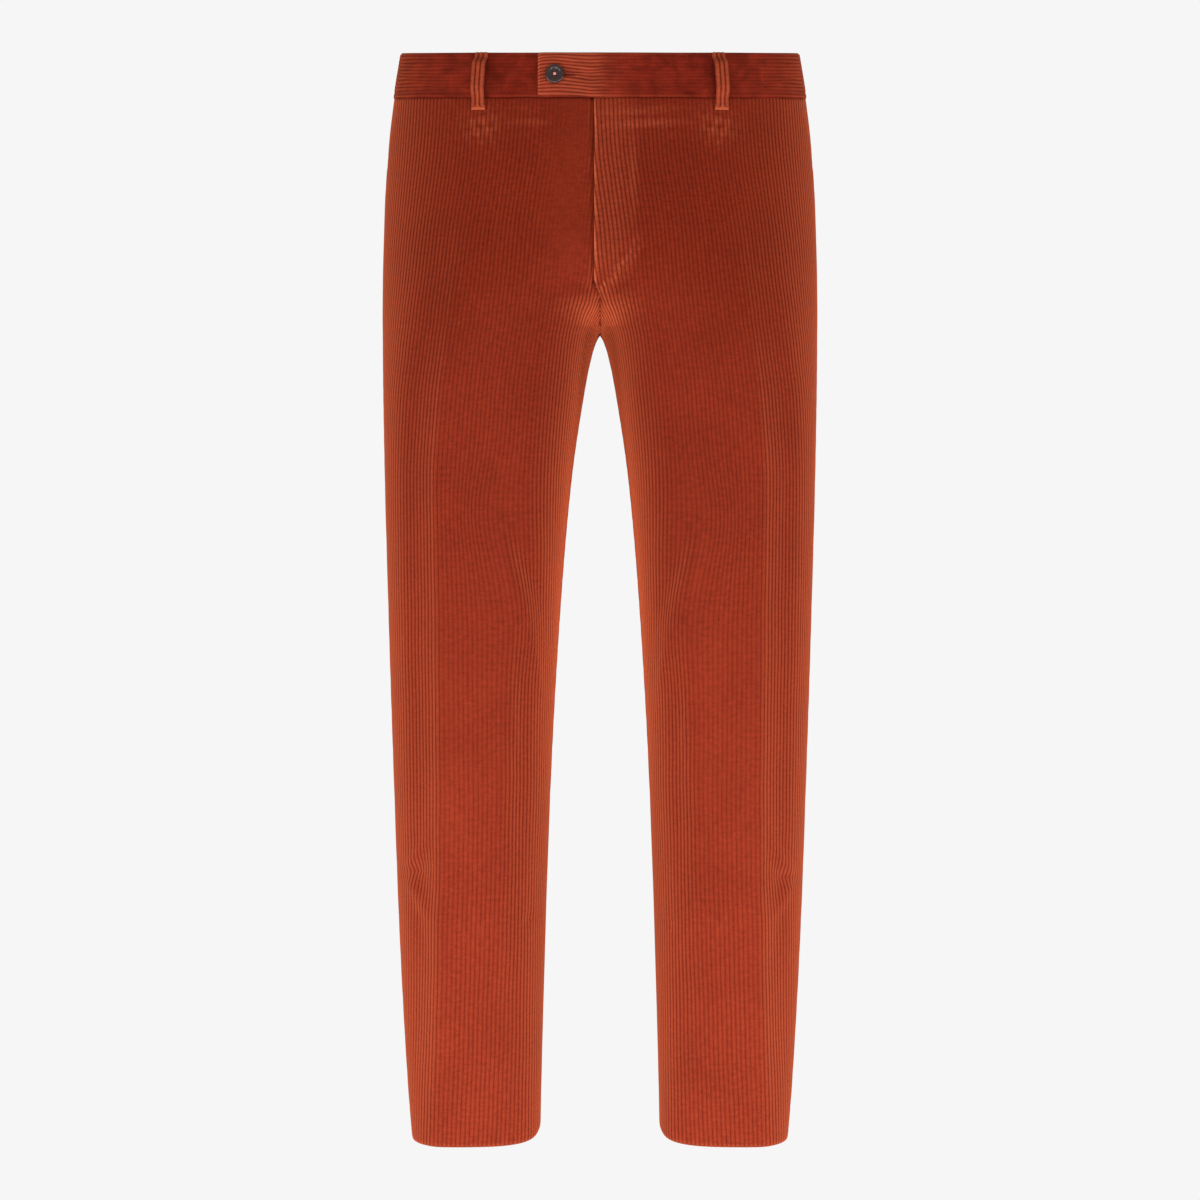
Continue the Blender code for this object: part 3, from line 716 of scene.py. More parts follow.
def panel(name, side, low, high, crease_line, folds, drifts, extra_rub_and_painted_light, lift, crease_amount, apart,
          flatten):
    """One cut panel. low and high are its cut edges, as distances round the form.
    extra_rub_and_painted_light, lift and flatten say, point by point, where it is worn or painted lighter,
    raised and brushed flat."""
    grain = at_depth(crease_line, panel_rows)
    arc, count, pitch = rib_columns(panel_rows, grain, low, high)
    depth = panel_rows[:, None] + np.zeros_like(arc)
    sign = 1.0 if crease_line is crease_at else -1.0      # on the back, outwards is to the front
    across = sign * (arc - grain[:, None])
    moved = arc + sign * drift_shift(drifts, side, depth, across) + meander(depth, count, RIB_WANDER)
    moved = np.maximum.accumulate(moved, axis=1)
    clipped = np.clip(moved, low[:, None], high[:, None])
    count = count + (clipped - moved) / pitch[:, None]
    edge = np.minimum(clipped - low[:, None], high[:, None] - clipped)

    def form_at(depth, arc):
        out = (arc - at_depth(crease_line, depth)) * sign
        return (fold_height(folds, side, depth, out) * eased(edge / 12.0)
                + pressed_crease(depth, out, crease_amount) + lift(depth, arc))

    form = form_at(depth, clipped)
    hem_end = OUTSEAM - depth
    seam_roll = -1.15 * bell(edge, 1.9) + 0.25 * bell(edge - 5.5, 3.0)
    hem_roll = -1.3 * bell(hem_end, 1.6)
    top_roll = -0.35 * bell(depth - BAND_HEIGHT, 1.2)
    ribs = RIB_HEIGHT * (rib_profile(count) - 0.62) * flatten(depth, clipped)
    form = form - tucked_in(depth)
    face = form + seam_roll + hem_roll + top_roll + ribs
    wall = np.where(hem_end < HEM_DEPTH + 0.5, HEM_BACK, CLOTH_BACK)
    wall = wall - 1.0 * bell(hem_end, 1.6)
    back = form + 0.5 * seam_roll - wall
    rub_and_painted_light = extra_rub_and_painted_light(depth, clipped, edge) + 0.5 * bell(hem_end, 2.0)
    thing = wall_of_cloth(name, side, depth, clipped, face, back, count * WALE,
                          depth, np.clip(rub_and_painted_light, -1, 1), (rust_pile, twill_back),
                          centre_column=0 if sign > 0 else -1, apart=apart, form=form_at)
    return thing, cut_size(depth, clipped)


# %% The two fronts
seam_line = at_depth(seam_at, panel_rows)
down_the_fly = np.clip((panel_rows - FLY_BOTTOM) / LAP_FADE, 0, 1)
left_edge = -FLY_EDGE + (FLY_EDGE + SEAM_GAP) * down_the_fly
draw_back = np.clip((panel_rows - UNDER_BOTTOM) / (FLY_BOTTOM - UNDER_BOTTOM), 0, 1)
right_edge = np.where(panel_rows <= FLY_BOTTOM, -FLY_UNDER + (FLY_UNDER + FLY_EDGE + 0.3) * draw_back,
                      2 * SEAM_GAP - left_edge)
side_edge = seam_line - mouth(panel_rows) - SEAM_GAP

# The J of stitching that holds the fly, as distance round and depth: down, then in to the centre.
J_TURN = 185.0             # where it starts to turn in
FLY_STITCH = np.array(((31, 46), (32.5, 80), (34, 120), (36, 160), (36.5, 190), (33, 205), (28, 214),
                       (23, 221), (15.5, 229), (9, 236), (2.5, 241)), float)


def distance_to_path(path, arc, depth):
    """How far points are from a bent line."""
    best = np.full(arc.shape, 1e9)
    for (a0, d0), (a1, d1) in zip(path, path[1:]):
        length = (a1 - a0) ** 2 + (d1 - d0) ** 2
        t = np.clip(((arc - a0) * (a1 - a0) + (depth - d0) * (d1 - d0)) / length, 0, 1)
        best = np.minimum(best, np.hypot(arc - a0 - t * (a1 - a0), depth - d0 - t * (d1 - d0)))
    return best


def left_lift(depth, arc):
    """The fly stands up at its folded edge and is held down along its stitching."""
    on_fly = 1 - eased((depth - FLY_BOTTOM) / 8)
    edge = 0.6 * bell(arc + FLY_EDGE, 6.0) * on_fly
    inside = np.interp(depth, FLY_STITCH[:, 1], FLY_STITCH[:, 0])
    edge = edge + 0.7 * eased((inside - arc) / 4.0) * on_fly * eased((depth - BAND_PRESS) / 20)
    fold = -0.6 * bell(arc + FLY_EDGE, 0.9) * on_fly
    seam_line_off = distance_to_path(FLY_STITCH, arc, depth)
    turning = eased((depth - J_TURN) / 25)
    tight = 0.35 + 0.65 * turning
    held = -1.1 * tight * bell(seam_line_off, 1.7)
    held = held + (0.35 * tight * bell(seam_line_off - 4, 3.0)
                   * (0.4 + np.sin(depth * 0.61 + arc * 0.9)) * turning)
    return edge + fold + held


def right_lift(depth, arc):
    """The right front dips by a layer of cloth where the left one laps over it."""
    across = eased((DIP_START - arc) / (DIP_START - DIP_DONE))
    return -LAP_DIP * across * (1 - eased((depth - FLY_BOTTOM) / LAP_FADE))


# A place brushed by hand: how much, its middle and height down the leg, its middle and width round.
Scuff = namedtuple("Scuff", "amount depth tall across wide")
FLY_SCUFF = Scuff(0.22, 130, 40, 31, 4)
LOOP_SCUFF = Scuff(0.55, 76, 17, -4, 17)          # across is from the crease, on this one
BAND_SCUFF = Scuff(0.45, 68, 13, 42, 34)


def scuffed(scuff, depth, across):
    return (scuff.amount * bell(depth - scuff.depth, scuff.tall)
            * bell(across - scuff.across, scuff.wide))


def front_rub_and_painted_light(side):
    """Above nothing where a front is worn, and at the inner thigh, which is also painted lighter; below
    where its pile is brushed flat.
    """
    def rub_and_painted_light(depth, arc, edge):
        pocket = 0.8 * bell(edge, 2.2) * (depth < BAND_HEIGHT + MOUTH_LENGTH) * (arc > 60)
        # Inner thigh: partly real chafing, partly painted light where the other leg shades it.
        inner_thigh_rub_and_painted_light = (0.9 * bell(arc, 34) * eased((depth - FLY_BOTTOM) / 40)
                       * (1 - eased((depth - 420) / 420)))
        from_crease = arc - at_depth(crease_at, depth)
        waves = np.sin(depth * 0.37 + arc * 0.21) * np.sin(depth * 0.13 - arc * 0.33 + 1.0)
        under_loop = np.maximum((0.4 + 0.6 * waves) * scuffed(LOOP_SCUFF, depth, from_crease), 0)
        under_band = ((0.5 + 0.5 * np.sin(depth * 0.42 + arc * 0.03 + 1.0))
                      * scuffed(BAND_SCUFF, depth, arc))
        both = pocket + inner_thigh_rub_and_painted_light + under_loop + under_band
        if side < 0:
            return both - 0.5 * bell(arc - 26, 24) * (1 - eased((depth - 190) / 70))
        # Only the left front has the fly's edge, its brushed face and its stitching, where that
        # turns in and the pile is pushed about.
        fly_edge = bell(arc + FLY_EDGE, 1.6) * (depth < FLY_BOTTOM)
        fly_face = 0.2 * eased((40 - arc) / 28) * (1 - eased((depth - 215) / 30))
        off = distance_to_path(FLY_STITCH, arc, depth)
        stitched = 0.34 * bell(off - 1.5, 2.6) * (0.5 + 0.5 * np.sin(depth * 0.53 - arc * 0.9))
        return (both + fly_edge + fly_face + scuffed(FLY_SCUFF, depth, arc)
                + stitched * eased((depth - J_TURN - 3) / 14))
    return rub_and_painted_light


def front_flatten(side):
    """Where the pile is brushed flat the ribs hardly stand: beside the fly and under the band."""
    def flatten(depth, arc):
        beside = bell(arc - 30, 20) * (1 - eased((depth - 200) / 60)) * (side < 0)
        under_band = bell(depth - BAND_PRESS, 22)
        return 1 - 0.6 * beside - 0.45 * under_band * (1 - 0.6 * beside)
    return flatten


def back_flatten(depth, arc):
    return 1 - 0.4 * bell(depth - BAND_PRESS, 22)


below_fly = FLY_BOTTOM + LAP_FADE - 1
front_left, front_left_cut = panel(
    "front_left_cloth", 1, left_edge, side_edge, crease_at, FRONT_FOLDS, FRONT_DRIFTS,
    front_rub_and_painted_light(1), left_lift, 1.0, below_fly, front_flatten(1))
front_right, front_right_cut = panel(
    "front_right_cloth", -1, right_edge, side_edge, crease_at, FRONT_FOLDS, FRONT_DRIFTS,
    front_rub_and_painted_light(-1), right_lift, 1.0, below_fly, front_flatten(-1))
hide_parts("front_left")
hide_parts("front_right")
declare_sheet(front_left, *front_left_cut, rests_on=["waistband_left"])
declare_sheet(front_right, *front_right_cut, rests_on=["waistband_right"])

# %% The opened seam behind the fork
# The seam's turned edges lie open behind it, as a strip of the cloth's back.
STRIP_WIDTH, STRIP_TOP, STRIP_FACE, STRIP_BACK = 14.0, 240.0, -2.5, -3.1
strip_arc, strip_depth = np.meshgrid(np.linspace(-STRIP_WIDTH / 2, STRIP_WIDTH / 2, 9),
                                     np.arange(STRIP_TOP, CROTCH - 2, 3.0))
wall_of_cloth("fork_seam_turnings", 1, strip_depth, strip_arc, STRIP_FACE + 0 * strip_arc,
              STRIP_BACK + 0 * strip_arc, strip_arc, strip_depth, 0 * strip_arc,
              (twill_back, twill_back))

# %% The two backs
back_end = at_depth(girth, panel_rows) - SEAM_GAP
backs = {}
for label, side in (("left", 1), ("right", -1)):
    backs[label], size = panel(
        "back_%s_cloth" % label, side, seam_line + SEAM_GAP, back_end, back_crease_at, BACK_FOLDS,
        BACK_DRIFTS, lambda depth, arc, edge: 0.0 * depth, lambda depth, arc: 0.0 * depth, 0.8, 0,
        back_flatten)
    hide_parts("back_" + label)
    declare_sheet(backs[label], *size, rests_on=["waistband_" + label])

# %% [markdown]
# ## Slant pockets
# Behind each slanting pocket mouth lies a facing of the same cloth, which shows as a narrow wedge.

# %% Pocket facings
facing_rows = np.concatenate(((BAND_HEIGHT - 4, BAND_HEIGHT - 0.4, BAND_HEIGHT + 0.1),
                              np.arange(47, 206, 4.0)))
for label, side in (("left", 1), ("right", -1)):
    seam = at_depth(seam_at, facing_rows)
    grain = at_depth(crease_at, facing_rows)
    cut = seam - mouth(facing_rows)
    low = cut + (grain - cut) / 6
    arc, count, pitch = rib_columns(facing_rows, seam, low, seam - SEAM_GAP)
    clipped = np.clip(arc, low[:, None], (seam - SEAM_GAP)[:, None])
    count = count + (clipped - arc) / pitch[:, None]
    depth = facing_rows[:, None] + np.zeros_like(clipped)
    ahead_of_mouth = clipped - cut[:, None]
    sunk = -2.75 + 2.5 * eased(ahead_of_mouth / 14.0) - tucked_in(depth)
    face = sunk + RIB_HEIGHT * (rib_profile(count) - 1.0)
    facing = wall_of_cloth("pocket_facing_%s_cloth" % label, side, depth, clipped, face, sunk - 1.7,
                           count * WALE, depth, 0 * depth, (rust_pile, twill_back))
    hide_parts("pocket_facing_" + label)
    declare_sheet(facing, *cut_size(depth, clipped), rests_on=["back_" + label])

# %% [markdown]
# ## Waistband
# The band is a strip of cloth folded double, cut so that its ribs run round the waist. Its left
# end runs on as a tab that buttons over the right half. Rows follow the ribs here, and they bow
# up a little over the button, where the cloth is pulled.

# %% Waistband
BAND_PROUD, BAND_BACK, TAB_REACH, TAB_RAMP = 0.8, 2.1, 58.0, 14.0
BAND_WALE = 3.4            # mm
BUTTON_REACH, BUTTON_DEPTH = 42.0, 23.15
HOLE_START, HOLE_END = -34.0, -23.5    # the buttonhole, past the button towards the centre
BAND_STITCH = 5.6          # stitched this far above the lower edge


RIGHT_END = 5.3            # where the right half ends, under the tab
BAND_ROLL = 1.3            # mm, how wide its edges turn in


def band_rise(arc, left):
    """How far the band stands off the form: the tab lies over the right half."""
    if not left:
        return np.full_like(arc, BAND_PROUD)
    return BAND_PROUD + 3.3 * eased((TAB_RAMP - arc) / (TAB_RAMP + 4))


def band(name, side, along_band, left):
    """Half of the waistband. along_band is its columns, as distances round the form."""
    count = rib_counts(0, 13)
    count = count[count * BAND_WALE < BAND_HEIGHT - 0.8]
    count = np.append(count, (BAND_HEIGHT - 0.1) / BAND_WALE)
    count = np.append(np.array((0.0, 0.05, 0.10)), count[1:])
    arc, count = np.meshgrid(along_band, count)
    depth = count * BAND_WALE
    part_down = depth / BAND_HEIGHT
    puff = np.sin(np.pi * np.clip(part_down, 0, 1))
    inside = puff ** 0.8
    bow = np.zeros_like(depth)
    if left:
        bow = -2.6 * bell(arc + BUTTON_REACH, 15) * inside
        bow += 1.0 * bell(arc + 8, 9) * inside
        bow += 1.4 * bell(arc + 4, 14) * part_down ** 2
        over = eased((TAB_RAMP - arc) / (TAB_RAMP + 4))
        corner = 1.6 * np.exp(-(arc + TAB_REACH) / 1.6)
        bow += (1.0 * over + corner) * (1 - part_down) - corner * part_down ** 6
    wander = (0.4 * np.sin(arc / 17.0 + count * 0.7) + 0.3 * np.sin(arc / 7.1 + count * 1.9)) * inside
    depth_here = depth + bow + wander
    top = -1.5 * bell(depth, BAND_ROLL)
    bottom = -0.5 * bell(BAND_HEIGHT - depth, BAND_ROLL)
    end = arc + TAB_REACH if left else arc - RIGHT_END
    end_roll = -1.1 * bell(end, BAND_ROLL)
    held = -0.9 * bell(BAND_HEIGHT - BAND_STITCH - depth, 0.9) * eased((arc - 60) / 30)
    dents = 0.35 * np.sin(arc / 23.0 + 1.3) * np.sin(depth / 14.0 + arc / 40.0)
    slot = 0.0
    if left:
        middle = (arc - (HOLE_START + HOLE_END) / 2) / ((HOLE_END - HOLE_START) / 2)
        slot = -2.2 * np.exp(-(middle ** 8)) * bell(depth_here - BUTTON_DEPTH, 1.0)
        slot = slot - 0.7 * bell(arc + BUTTON_REACH, 9) * bell(depth_here - BUTTON_DEPTH, 9)
    form = band_rise(arc, left) + dents
    ribs = (0.30 + 0.3 * eased((6 - arc) / 10) * left) * (rib_profile(count) - 0.62)
    face = form + top + bottom + end_roll + 0.5 * puff + held + slot + ribs
    back = form - BAND_BACK + 0.7 * bell(depth, BAND_ROLL) - 0.5 * end_roll
    # Worn along its edges and on the tab; brushed flat in blotches towards the sides.
    rub_and_painted_light = 0.55 * bell(depth, 1.8) + 0.35 * bell(BAND_HEIGHT - depth, 1.6) + 0.9 * bell(end, 1.8)
    if left:
        rub_and_painted_light = rub_and_painted_light + 0.3 * eased((55 - arc) / 90) + 0.35 * eased((12 - arc) / 20)
    blotches = np.sin(arc / 9.0 + 2.0 * np.sin(depth / 8.0)) * np.sin(depth / 6.0 + arc / 31.0)
    rub_and_painted_light = rub_and_painted_light - (0.55 + 0.2 * blotches) * eased((arc - 70) / 70)
    thing = wall_of_cloth(name, side, depth_here, arc, face, back, count * WALE, arc,
                          np.clip(rub_and_painted_light, -0.9, 1), (band_pile, cotton_lining))
    return thing, cut_size(depth_here, arc)


round_end = at_depth(girth, 20.0)
left_columns = np.concatenate((np.arange(-TAB_REACH, -TAB_REACH + 3, 0.7), np.arange(-55, 16, 1.25),
                               np.arange(16, round_end - 4, 4.5), (round_end - SEAM_GAP,)))
right_columns = np.concatenate(((RIGHT_END, 6.0, 7.0, 8.5), np.arange(11, round_end - 4, 4.5),
                                (round_end - SEAM_GAP,)))
for label, side, along_band in (("left", 1, left_columns), ("right", -1, right_columns)):
    half, size = band("waistband_%s_cloth" % label, side, along_band, side > 0)
    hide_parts("waistband_" + label)
    declare_sheet(half, *size, rests_on=["front_" + label])

# %% [markdown]
# ## Belt loops
# A belt loop is a strip folded to three ribs wide, turned under at both ends and tacked. It stands
# off the band in the middle, so that a belt passes under it.

# %% Belt loops
LOOP_WIDTH, LOOP_ROOM, LOOP_CLOTH, BACK_LOOP = 12.8, 7.0, 1.6, 108.0
near, far = BAND_PROUD + 0.4, BAND_PROUD + LOOP_ROOM
LOOP_ASIDE, LOOP_LEAN, LOOP_START, LOOP_END = 1.0, 1.2, 0.6, 57.8
loop_depths = np.array((LOOP_START, 2, 4, 6, 8, 10, 12, 15, 19, 24, 30, 35, 38, 41, 43.5, 46, 48, 50,
                        52, 54, 56, 57.1, LOOP_END))
loop_path = np.interp(loop_depths, (LOOP_START, 6, 12, 24, 38, 46, 52, LOOP_END),
                      (near, near, far, far, far, near + 1.0, 1.6, 0.5))
loop_path = np.convolve(np.pad(loop_path, 1, mode="edge"), (0.25, 0.5, 0.25), mode="valid")
loop_steps = np.linspace(-0.5, 0.5, 19)
# Side, the line that it sits on, and how far ahead of that line: over both creases, at both sides
# of the back, and on the centre back seam.
loops = ((1, crease_at, 0.0), (-1, crease_at, 0.0), (1, girth, BACK_LOOP), (-1, girth, BACK_LOOP),
         (1, girth, 0.0))
for number, (side, line, ahead) in enumerate(loops, start=1):
    step, down = np.meshgrid(loop_steps, loop_depths)
    bend = 0 * down
    if line is crease_at:
        # The top leans in towards the centre, and the turned end is pulled back that way.
        bend = LOOP_ASIDE - LOOP_LEAN * (1 - down / LOOP_END)
        bend = bend + 1.2 * eased((down - 46) / 12) * np.minimum(step, 0) * 2
    arc = at_depth(line, down) - ahead + step * LOOP_WIDTH * (1 - 0.05 * eased((down - 40) / 14)) + bend
    path = loop_path[:, None] + 0 * step
    edge = (0.5 - np.abs(step)) * LOOP_WIDTH
    roll = -0.9 * bell(edge, 0.9)
    turned = -0.9 * bell(LOOP_END - down, 1.0) - 0.7 * bell(down - LOOP_START, 1.4)
    tack = -0.3 * bell(down - 52, 1.2) - 0.4 * bell(down - 5, 1.2)
    turned_end = eased((down - LOOP_END + 3.5) / 2.0)
    over = (step * 3 + 1.5) * (1 - turned_end) + 1.5 * turned_end
    ribs = 1.1 * (rib_profile(step * 3 + 1.5) - 0.5) * (1 - 0.7 * turned_end)
    face = path + LOOP_CLOTH + roll + turned + tack + ribs
    back = path + 0.15 - 0.3 * roll
    # Partly real wear and partly painted light: the whole loop is made paler, with painted highlights along
    # its edges and its turned lower end.
    rub_and_painted_light = 0.4 + 0.3 * bell(edge, 1.0) + 0.4 * bell(LOOP_END - down, 2.0)
    loop = wall_of_cloth("belt_loop_%d_cloth" % number, side, down, arc, face, back,
                         over * WALE, down, rub_and_painted_light, (rust_pile, twill_back))
    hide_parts("belt_loop_%d" % number)
    width = cut_size(down, arc)[0]
    run = np.hypot(np.diff(loop_depths), np.diff(loop_path)).sum() * MM
    half = "waistband_left" if side > 0 else "waistband_right"
    declare_sheet(loop, width, run, width * run, rests_on=[half])

# %% [markdown]
# ## Behind the fly
# The zip is sewn to a tape behind the lap, with a shield of corduroy behind that. The trousers are
# done up, so the zip shows only from inside. The slider keeps its shape from the frame.

# %% Fly shield and zip
SHIELD_EDGES, TAPE_EDGES, CHAIN_ARC = (-20.0, 34.0), (-8.0, 26.0), 14.0
fly_rows = np.append(np.arange(BAND_HEIGHT + 0.4, UNDER_BOTTOM, 5.0), UNDER_BOTTOM)
arc, count, pitch = rib_columns(fly_rows, *(np.full(len(fly_rows), edge) for edge in (7.0, *SHIELD_EDGES)))
arc = np.clip(arc, *SHIELD_EDGES)
depth = fly_rows[:, None] + 0 * arc
ZIP_OUT = -(LAP_DIP + 2.0 + 0.9)       # behind the right front, its 2 mm of cloth and some room
SHIELD_OUT = ZIP_OUT - 1.2 - 0.9
shield = wall_of_cloth("fly_shield_cloth", 1, depth, arc, SHIELD_OUT - 0.3 + 0.6 * (rib_profile(count) - 1),
                       SHIELD_OUT - 1.9 + 0 * arc, count * WALE, depth, 0 * arc, (rust_pile, twill_back))
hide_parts("fly_shield")
declare_sheet(shield, *cut_size(depth, arc), rests_on=["front_right"])

zip_arc, zip_depth = np.meshgrid(np.linspace(*TAPE_EDGES, 18), fly_rows)
cord = 0.35 * bell(np.abs(zip_arc - CHAIN_ARC) - 3.2, 1.0)
tape = wall_of_cloth("fly_zip_tape", 1, zip_depth, zip_arc, ZIP_OUT - 0.3 + cord, ZIP_OUT - 1.0 - cord,
                     zip_arc, zip_depth, 0 * zip_arc, (zip_weave, zip_weave))
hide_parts("fly_zip")

# %% Zip teeth
TOOTH_PITCH = 2.0          # mm along one side; the other side's teeth lie between
bm = bmesh.new()
tooth_depths = np.arange(78.0, 219.0, TOOTH_PITCH / 2)
tooth_arcs = CHAIN_ARC + 0.7 * (-1.0) ** np.arange(len(tooth_depths))
spots = placed(surface(tooth_depths, tooth_arcs, ZIP_OUT + 0.1), 1)
for spot in spots:
    bmesh.ops.create_cube(bm, size=1.0, matrix=Matrix.Translation(Vector(spot))
                          @ Matrix.Diagonal((3.0 * MM, 1.3 * MM, 0.75 * MM, 1)))
bmesh.ops.bevel(bm, geom=list(bm.edges), offset=0.14 * MM, affect="EDGES", segments=1, profile=0.5,
                material=-1)
teeth = finish_object("zip_teeth", mesh_of("zip_teeth", bm), (zip_brass,))
declare_sheet(tape, *cut_size(zip_depth, zip_arc), rests_on=["front_left"], with_pieces=[teeth])
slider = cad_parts["zip_slider"]
slider.data.materials.clear()
slider.data.materials.append(zip_brass)

# %% [markdown]
# ## Button
# The button is turned from resin: a raised rim, a dished middle and four drilled holes. It is spun
# from half its outline. A few turns of thread cross the holes and tie it down.

# %% Button
button_arc, button_depth = -BUTTON_REACH, BUTTON_DEPTH
rise = float(band_rise(np.array([button_arc]), True)[0]) + 0.45
foot = Vector(placed(surface([button_depth], [button_arc], rise), 1)[0])
ahead = Vector(placed(surface([button_depth], [button_arc], rise + 1.0), 1)[0]) - foot
stand = Matrix.Translation(foot) @ ahead.to_track_quat("Z", "Y").to_matrix().to_4x4()

outline = ((0.0, 1.9), (2.0, 1.9), (4.2, 2.05), (5.3, 2.35), (5.9, 2.85), (6.4, 3.15), (7.2, 3.3),
           (8.0, 3.2), (8.7, 2.8), (9.1, 2.1), (9.1, 1.5), (8.6, 0.7), (7.6, 0.2), (5.0, 0.0), (0.0, 0.0))
bm = bmesh.new()
verts = [bm.verts.new((r * MM, 0, z * MM)) for r, z in outline]
edges = [bm.edges.new(pair) for pair in zip(verts, verts[1:])]
bmesh.ops.spin(bm, geom=verts + edges, cent=(0, 0, 0), axis=(0, 0, 1), angle=2 * math.pi, steps=64,
               use_merge=True)
bmesh.ops.remove_doubles(bm, verts=bm.verts, dist=1e-6)
bmesh.ops.recalc_face_normals(bm, faces=bm.faces)
bm.transform(stand)
blank = bpy.data.objects.new("button_blank", mesh_of("waist_button", bm))
garment.objects.link(blank)

drill = bmesh.new()
HOLE_RING, HOLE_RADIUS = 2.2, 0.85
hole_angles = [math.radians(45 + 90 * k) for k in range(4)]
for angle in hole_angles:
    bmesh.ops.create_cone(drill, cap_ends=True, segments=24, radius1=HOLE_RADIUS * MM,
                          radius2=HOLE_RADIUS * MM, depth=9 * MM,
                          matrix=Matrix.Translation((HOLE_RING * MM * math.cos(angle),
                                                     HOLE_RING * MM * math.sin(angle), 0)))
drill.transform(stand)
drill_thing = bpy.data.objects.new("button_drill", mesh_of("button_drill", drill))
garment.objects.link(drill_thing)
holes = blank.modifiers.new("holes", "BOOLEAN")
holes.object, holes.solver = drill_thing, "EXACT"
bpy.context.view_layer.update()
drilled = bpy.data.meshes.new_from_object(blank.evaluated_get(bpy.context.evaluated_depsgraph_get()))
drilled.name = "waist_button_drilled"
for spare in (drill_thing, blank):
    bpy.data.objects.remove(spare, do_unlink=True)
drilled.materials.clear()
button = finish_object("waist_button", drilled, (horn_resin,))
button.data.set_sharp_from_angle(angle=math.radians(40))
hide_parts("button")


# %% [markdown]
# ## Stitching
# Machine stitches are short lengths of thread that sink into the cloth at both ends. Each one is a
# small ball drawn out along the seam, and a run of them is one piece.

# %% Stitches
def add_stitch(bm, start, end, radius):
    """One stitch between two points, in metres."""
    start, end = Vector(start), Vector(end)
    run = end - start
    matrix = (Matrix.Translation((start + end) / 2) @ run.to_track_quat("Z", "Y").to_matrix().to_4x4()
              @ Matrix.Diagonal((radius, radius, run.length / 2, 1)))
    bmesh.ops.create_icosphere(bm, subdivisions=1, radius=1.0, matrix=matrix)


def stitch_run(bm, side, path, height, stitch=2.9, gap=0.7, radius=0.28):
    """Stitches along a path of (distance round, depth) on the form."""
    path = np.asarray(path, float)
    lengths = np.concatenate(([0.0], np.cumsum(np.hypot(*np.diff(path, axis=0).T))))
    starts = np.arange(0.4, lengths[-1] - stitch, stitch + gap)
    ends = starts + stitch
    for begin, finish in zip(starts, ends):
        arcs = np.interp((begin, finish), lengths, path[:, 0])
        depths = np.interp((begin, finish), lengths, path[:, 1])
        points = placed(surface(depths, arcs, np.asarray(height(depths, arcs))), side)
        add_stitch(bm, points[0], points[1], radius * MM)


bm = bmesh.new()
stitch_run(bm, 1, FLY_STITCH, lambda depth, arc: -0.35 + 0 * arc)
stitch_run(bm, 1, ((-1.5, 241), (5.5, 239)), lambda depth, arc: 0.5 + 0 * arc, 1.0, 0.2)
finish_object("fly_stitching", mesh_of("fly_stitching", bm), (sewing_thread,))

bm = bmesh.new()
for side in (1, -1):
    mouth_depths = np.linspace(BAND_HEIGHT + 4, BAND_HEIGHT + MOUTH_LENGTH - 18, 24)
    mouth_arcs = at_depth(seam_at, mouth_depths) - mouth(mouth_depths) - 6.0
    stitch_run(bm, side, np.stack((mouth_arcs, mouth_depths), axis=1), lambda depth, arc: 0.1 + 0 * arc,
               radius=0.2)
finish_object("pocket_mouth_stitching", mesh_of("pocket_mouth_stitching", bm), (sewing_thread,))

bm = bmesh.new()
for side in (1, -1):
    band_line = np.arange(86, round_end - 6, 6.0)
    line = np.stack((band_line, np.full_like(band_line, BAND_HEIGHT - BAND_STITCH)), axis=1)
    stitch_run(bm, side, line, lambda depth, arc: BAND_PROUD - 0.25 + 0 * arc)
finish_object("waistband_stitching", mesh_of("waistband_stitching", bm), (sewing_thread,))

# %% Buttonhole and button thread
bm = bmesh.new()
for k in range(15):
    arc = HOLE_START + (HOLE_END - HOLE_START) * k / 14
    for way in (-1, 1):
        lip = BUTTON_DEPTH + way * np.array((0.55, 2.3))
        points = placed(surface(lip, np.full(2, arc), band_rise(np.full(2, arc), True) + 0.45), 1)
        add_stitch(bm, points[0], points[1], 0.34 * MM)
finish_object("buttonhole_stitching", mesh_of("buttonhole_stitching", bm), (sewing_thread,))

bm = bmesh.new()
for first, second in ((0, 2), (1, 3)):
    for spread in (-0.25, 0.25):
        ends = []
        for k in (first, second):
            angle = hole_angles[k]
            ends.append(stand @ Vector((HOLE_RING * MM * math.cos(angle) + spread * MM * math.sin(angle),
                                        HOLE_RING * MM * math.sin(angle) - spread * MM * math.cos(angle),
                                        2.1 * MM)))
        add_stitch(bm, ends[0], ends[1], 0.4 * MM)
bmesh.ops.create_icosphere(bm, subdivisions=2, radius=0.95 * MM,
                           matrix=stand @ Matrix.Translation((0, 0, 2.3 * MM)))
bmesh.ops.create_cone(bm, cap_ends=True, segments=12, radius1=1.5 * MM, radius2=1.3 * MM, depth=1.0 * MM,
                      matrix=stand @ Matrix.Translation((0, 0, -0.4 * MM)))
finish_object("button_thread", mesh_of("button_thread", bm), (button_thread,))

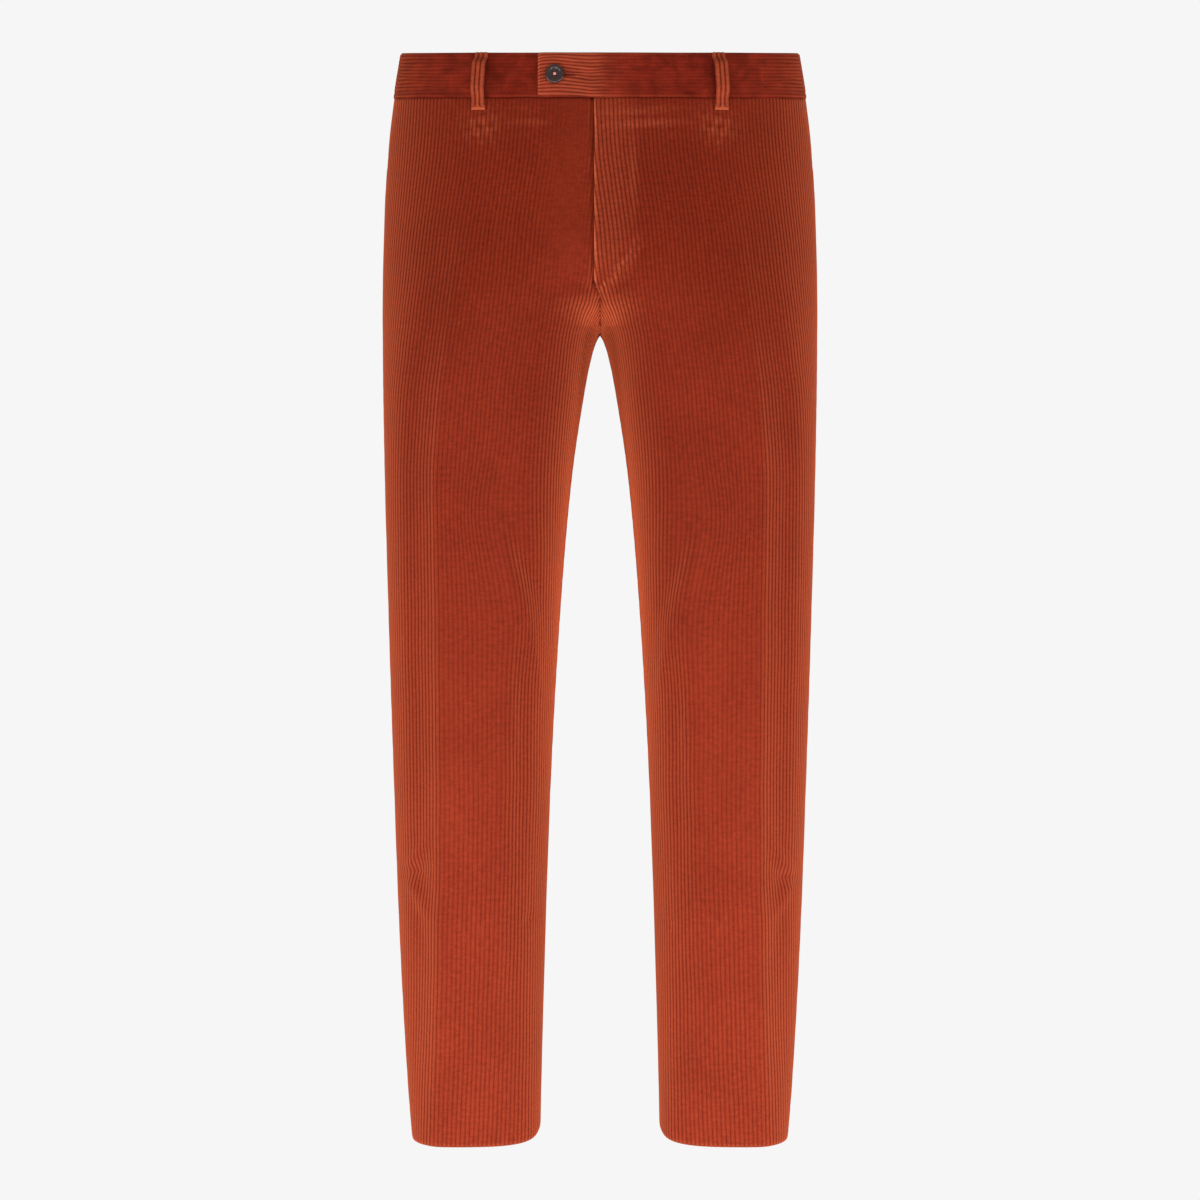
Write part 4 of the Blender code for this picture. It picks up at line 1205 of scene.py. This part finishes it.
# %% [markdown]
# ## Floor, light and camera
# The trousers hang clear of a pale floor. Large soft lights stand low in front and at both sides,
# so that the lower legs are lit a little more and the edges shine. The camera looks straight on.

# %% Floor
bm = bmesh.new()
bmesh.ops.create_circle(bm, cap_ends=True, segments=96, radius=1.0,
                        matrix=Matrix.Translation((0, 0, -1.36)))
mesh = mesh_of("studio_floor", bm)
mesh.materials.append(speckled_finish("matt_white_studio_floor", "#ececec", "#f2f2f2", 71.4, 3.0,
                                      Roughness=0.9))
floor = bpy.data.objects.new("studio_floor", mesh)
bpy.context.scene.collection.objects.link(floor)

# %% Light
world = bpy.data.worlds.new("studio")
world.use_nodes = True
world.node_tree.nodes["Background"].inputs["Color"].default_value = linear("#f6f6f6")
bpy.context.scene.world = world


def add_softbox(name, place, aim, width, height, power, colour="#ffffff"):
    lamp = bpy.data.lights.new(name, "AREA")
    lamp.shape, lamp.size, lamp.size_y = "RECTANGLE", width, height
    lamp.energy, lamp.color = power, linear(colour)[:3]
    thing = bpy.data.objects.new(name, lamp)
    thing.location = place
    thing.rotation_euler = (Vector(aim) - Vector(place)).to_track_quat("-Z", "Y").to_euler()
    bpy.context.scene.collection.objects.link(thing)


add_softbox("low_left_light", (1.0, -2.0, -1.2), (0, 0, -0.8), 0.7, 0.8, 23.5)
add_softbox("low_right_light", (-1.0, -2.0, -1.2), (0, 0, -0.8), 0.7, 0.8, 23.5)
add_softbox("fork_light", (0.0, -1.1, -1.15), (0, 0, -0.33), 0.3, 0.3, 10)
add_softbox("left_light", (2.1, -1.15, -0.75), (0.1, 0, -0.7), 0.4, 1.4, 36)
add_softbox("right_light", (-2.1, -1.15, -0.75), (-0.1, 0, -0.7), 0.4, 1.4, 36)

# %% Camera
camera = bpy.data.cameras.new("front_view")
camera.sensor_width, camera.lens = 36.0, 77.3
viewer = bpy.data.objects.new("front_view", camera)
viewer.location = (0.0, -2.5, -0.5304)
viewer.rotation_euler = (math.pi / 2, 0, 0)
bpy.context.scene.collection.objects.link(viewer)
bpy.context.scene.camera = viewer
bpy.context.scene.view_settings.view_transform = "Standard"
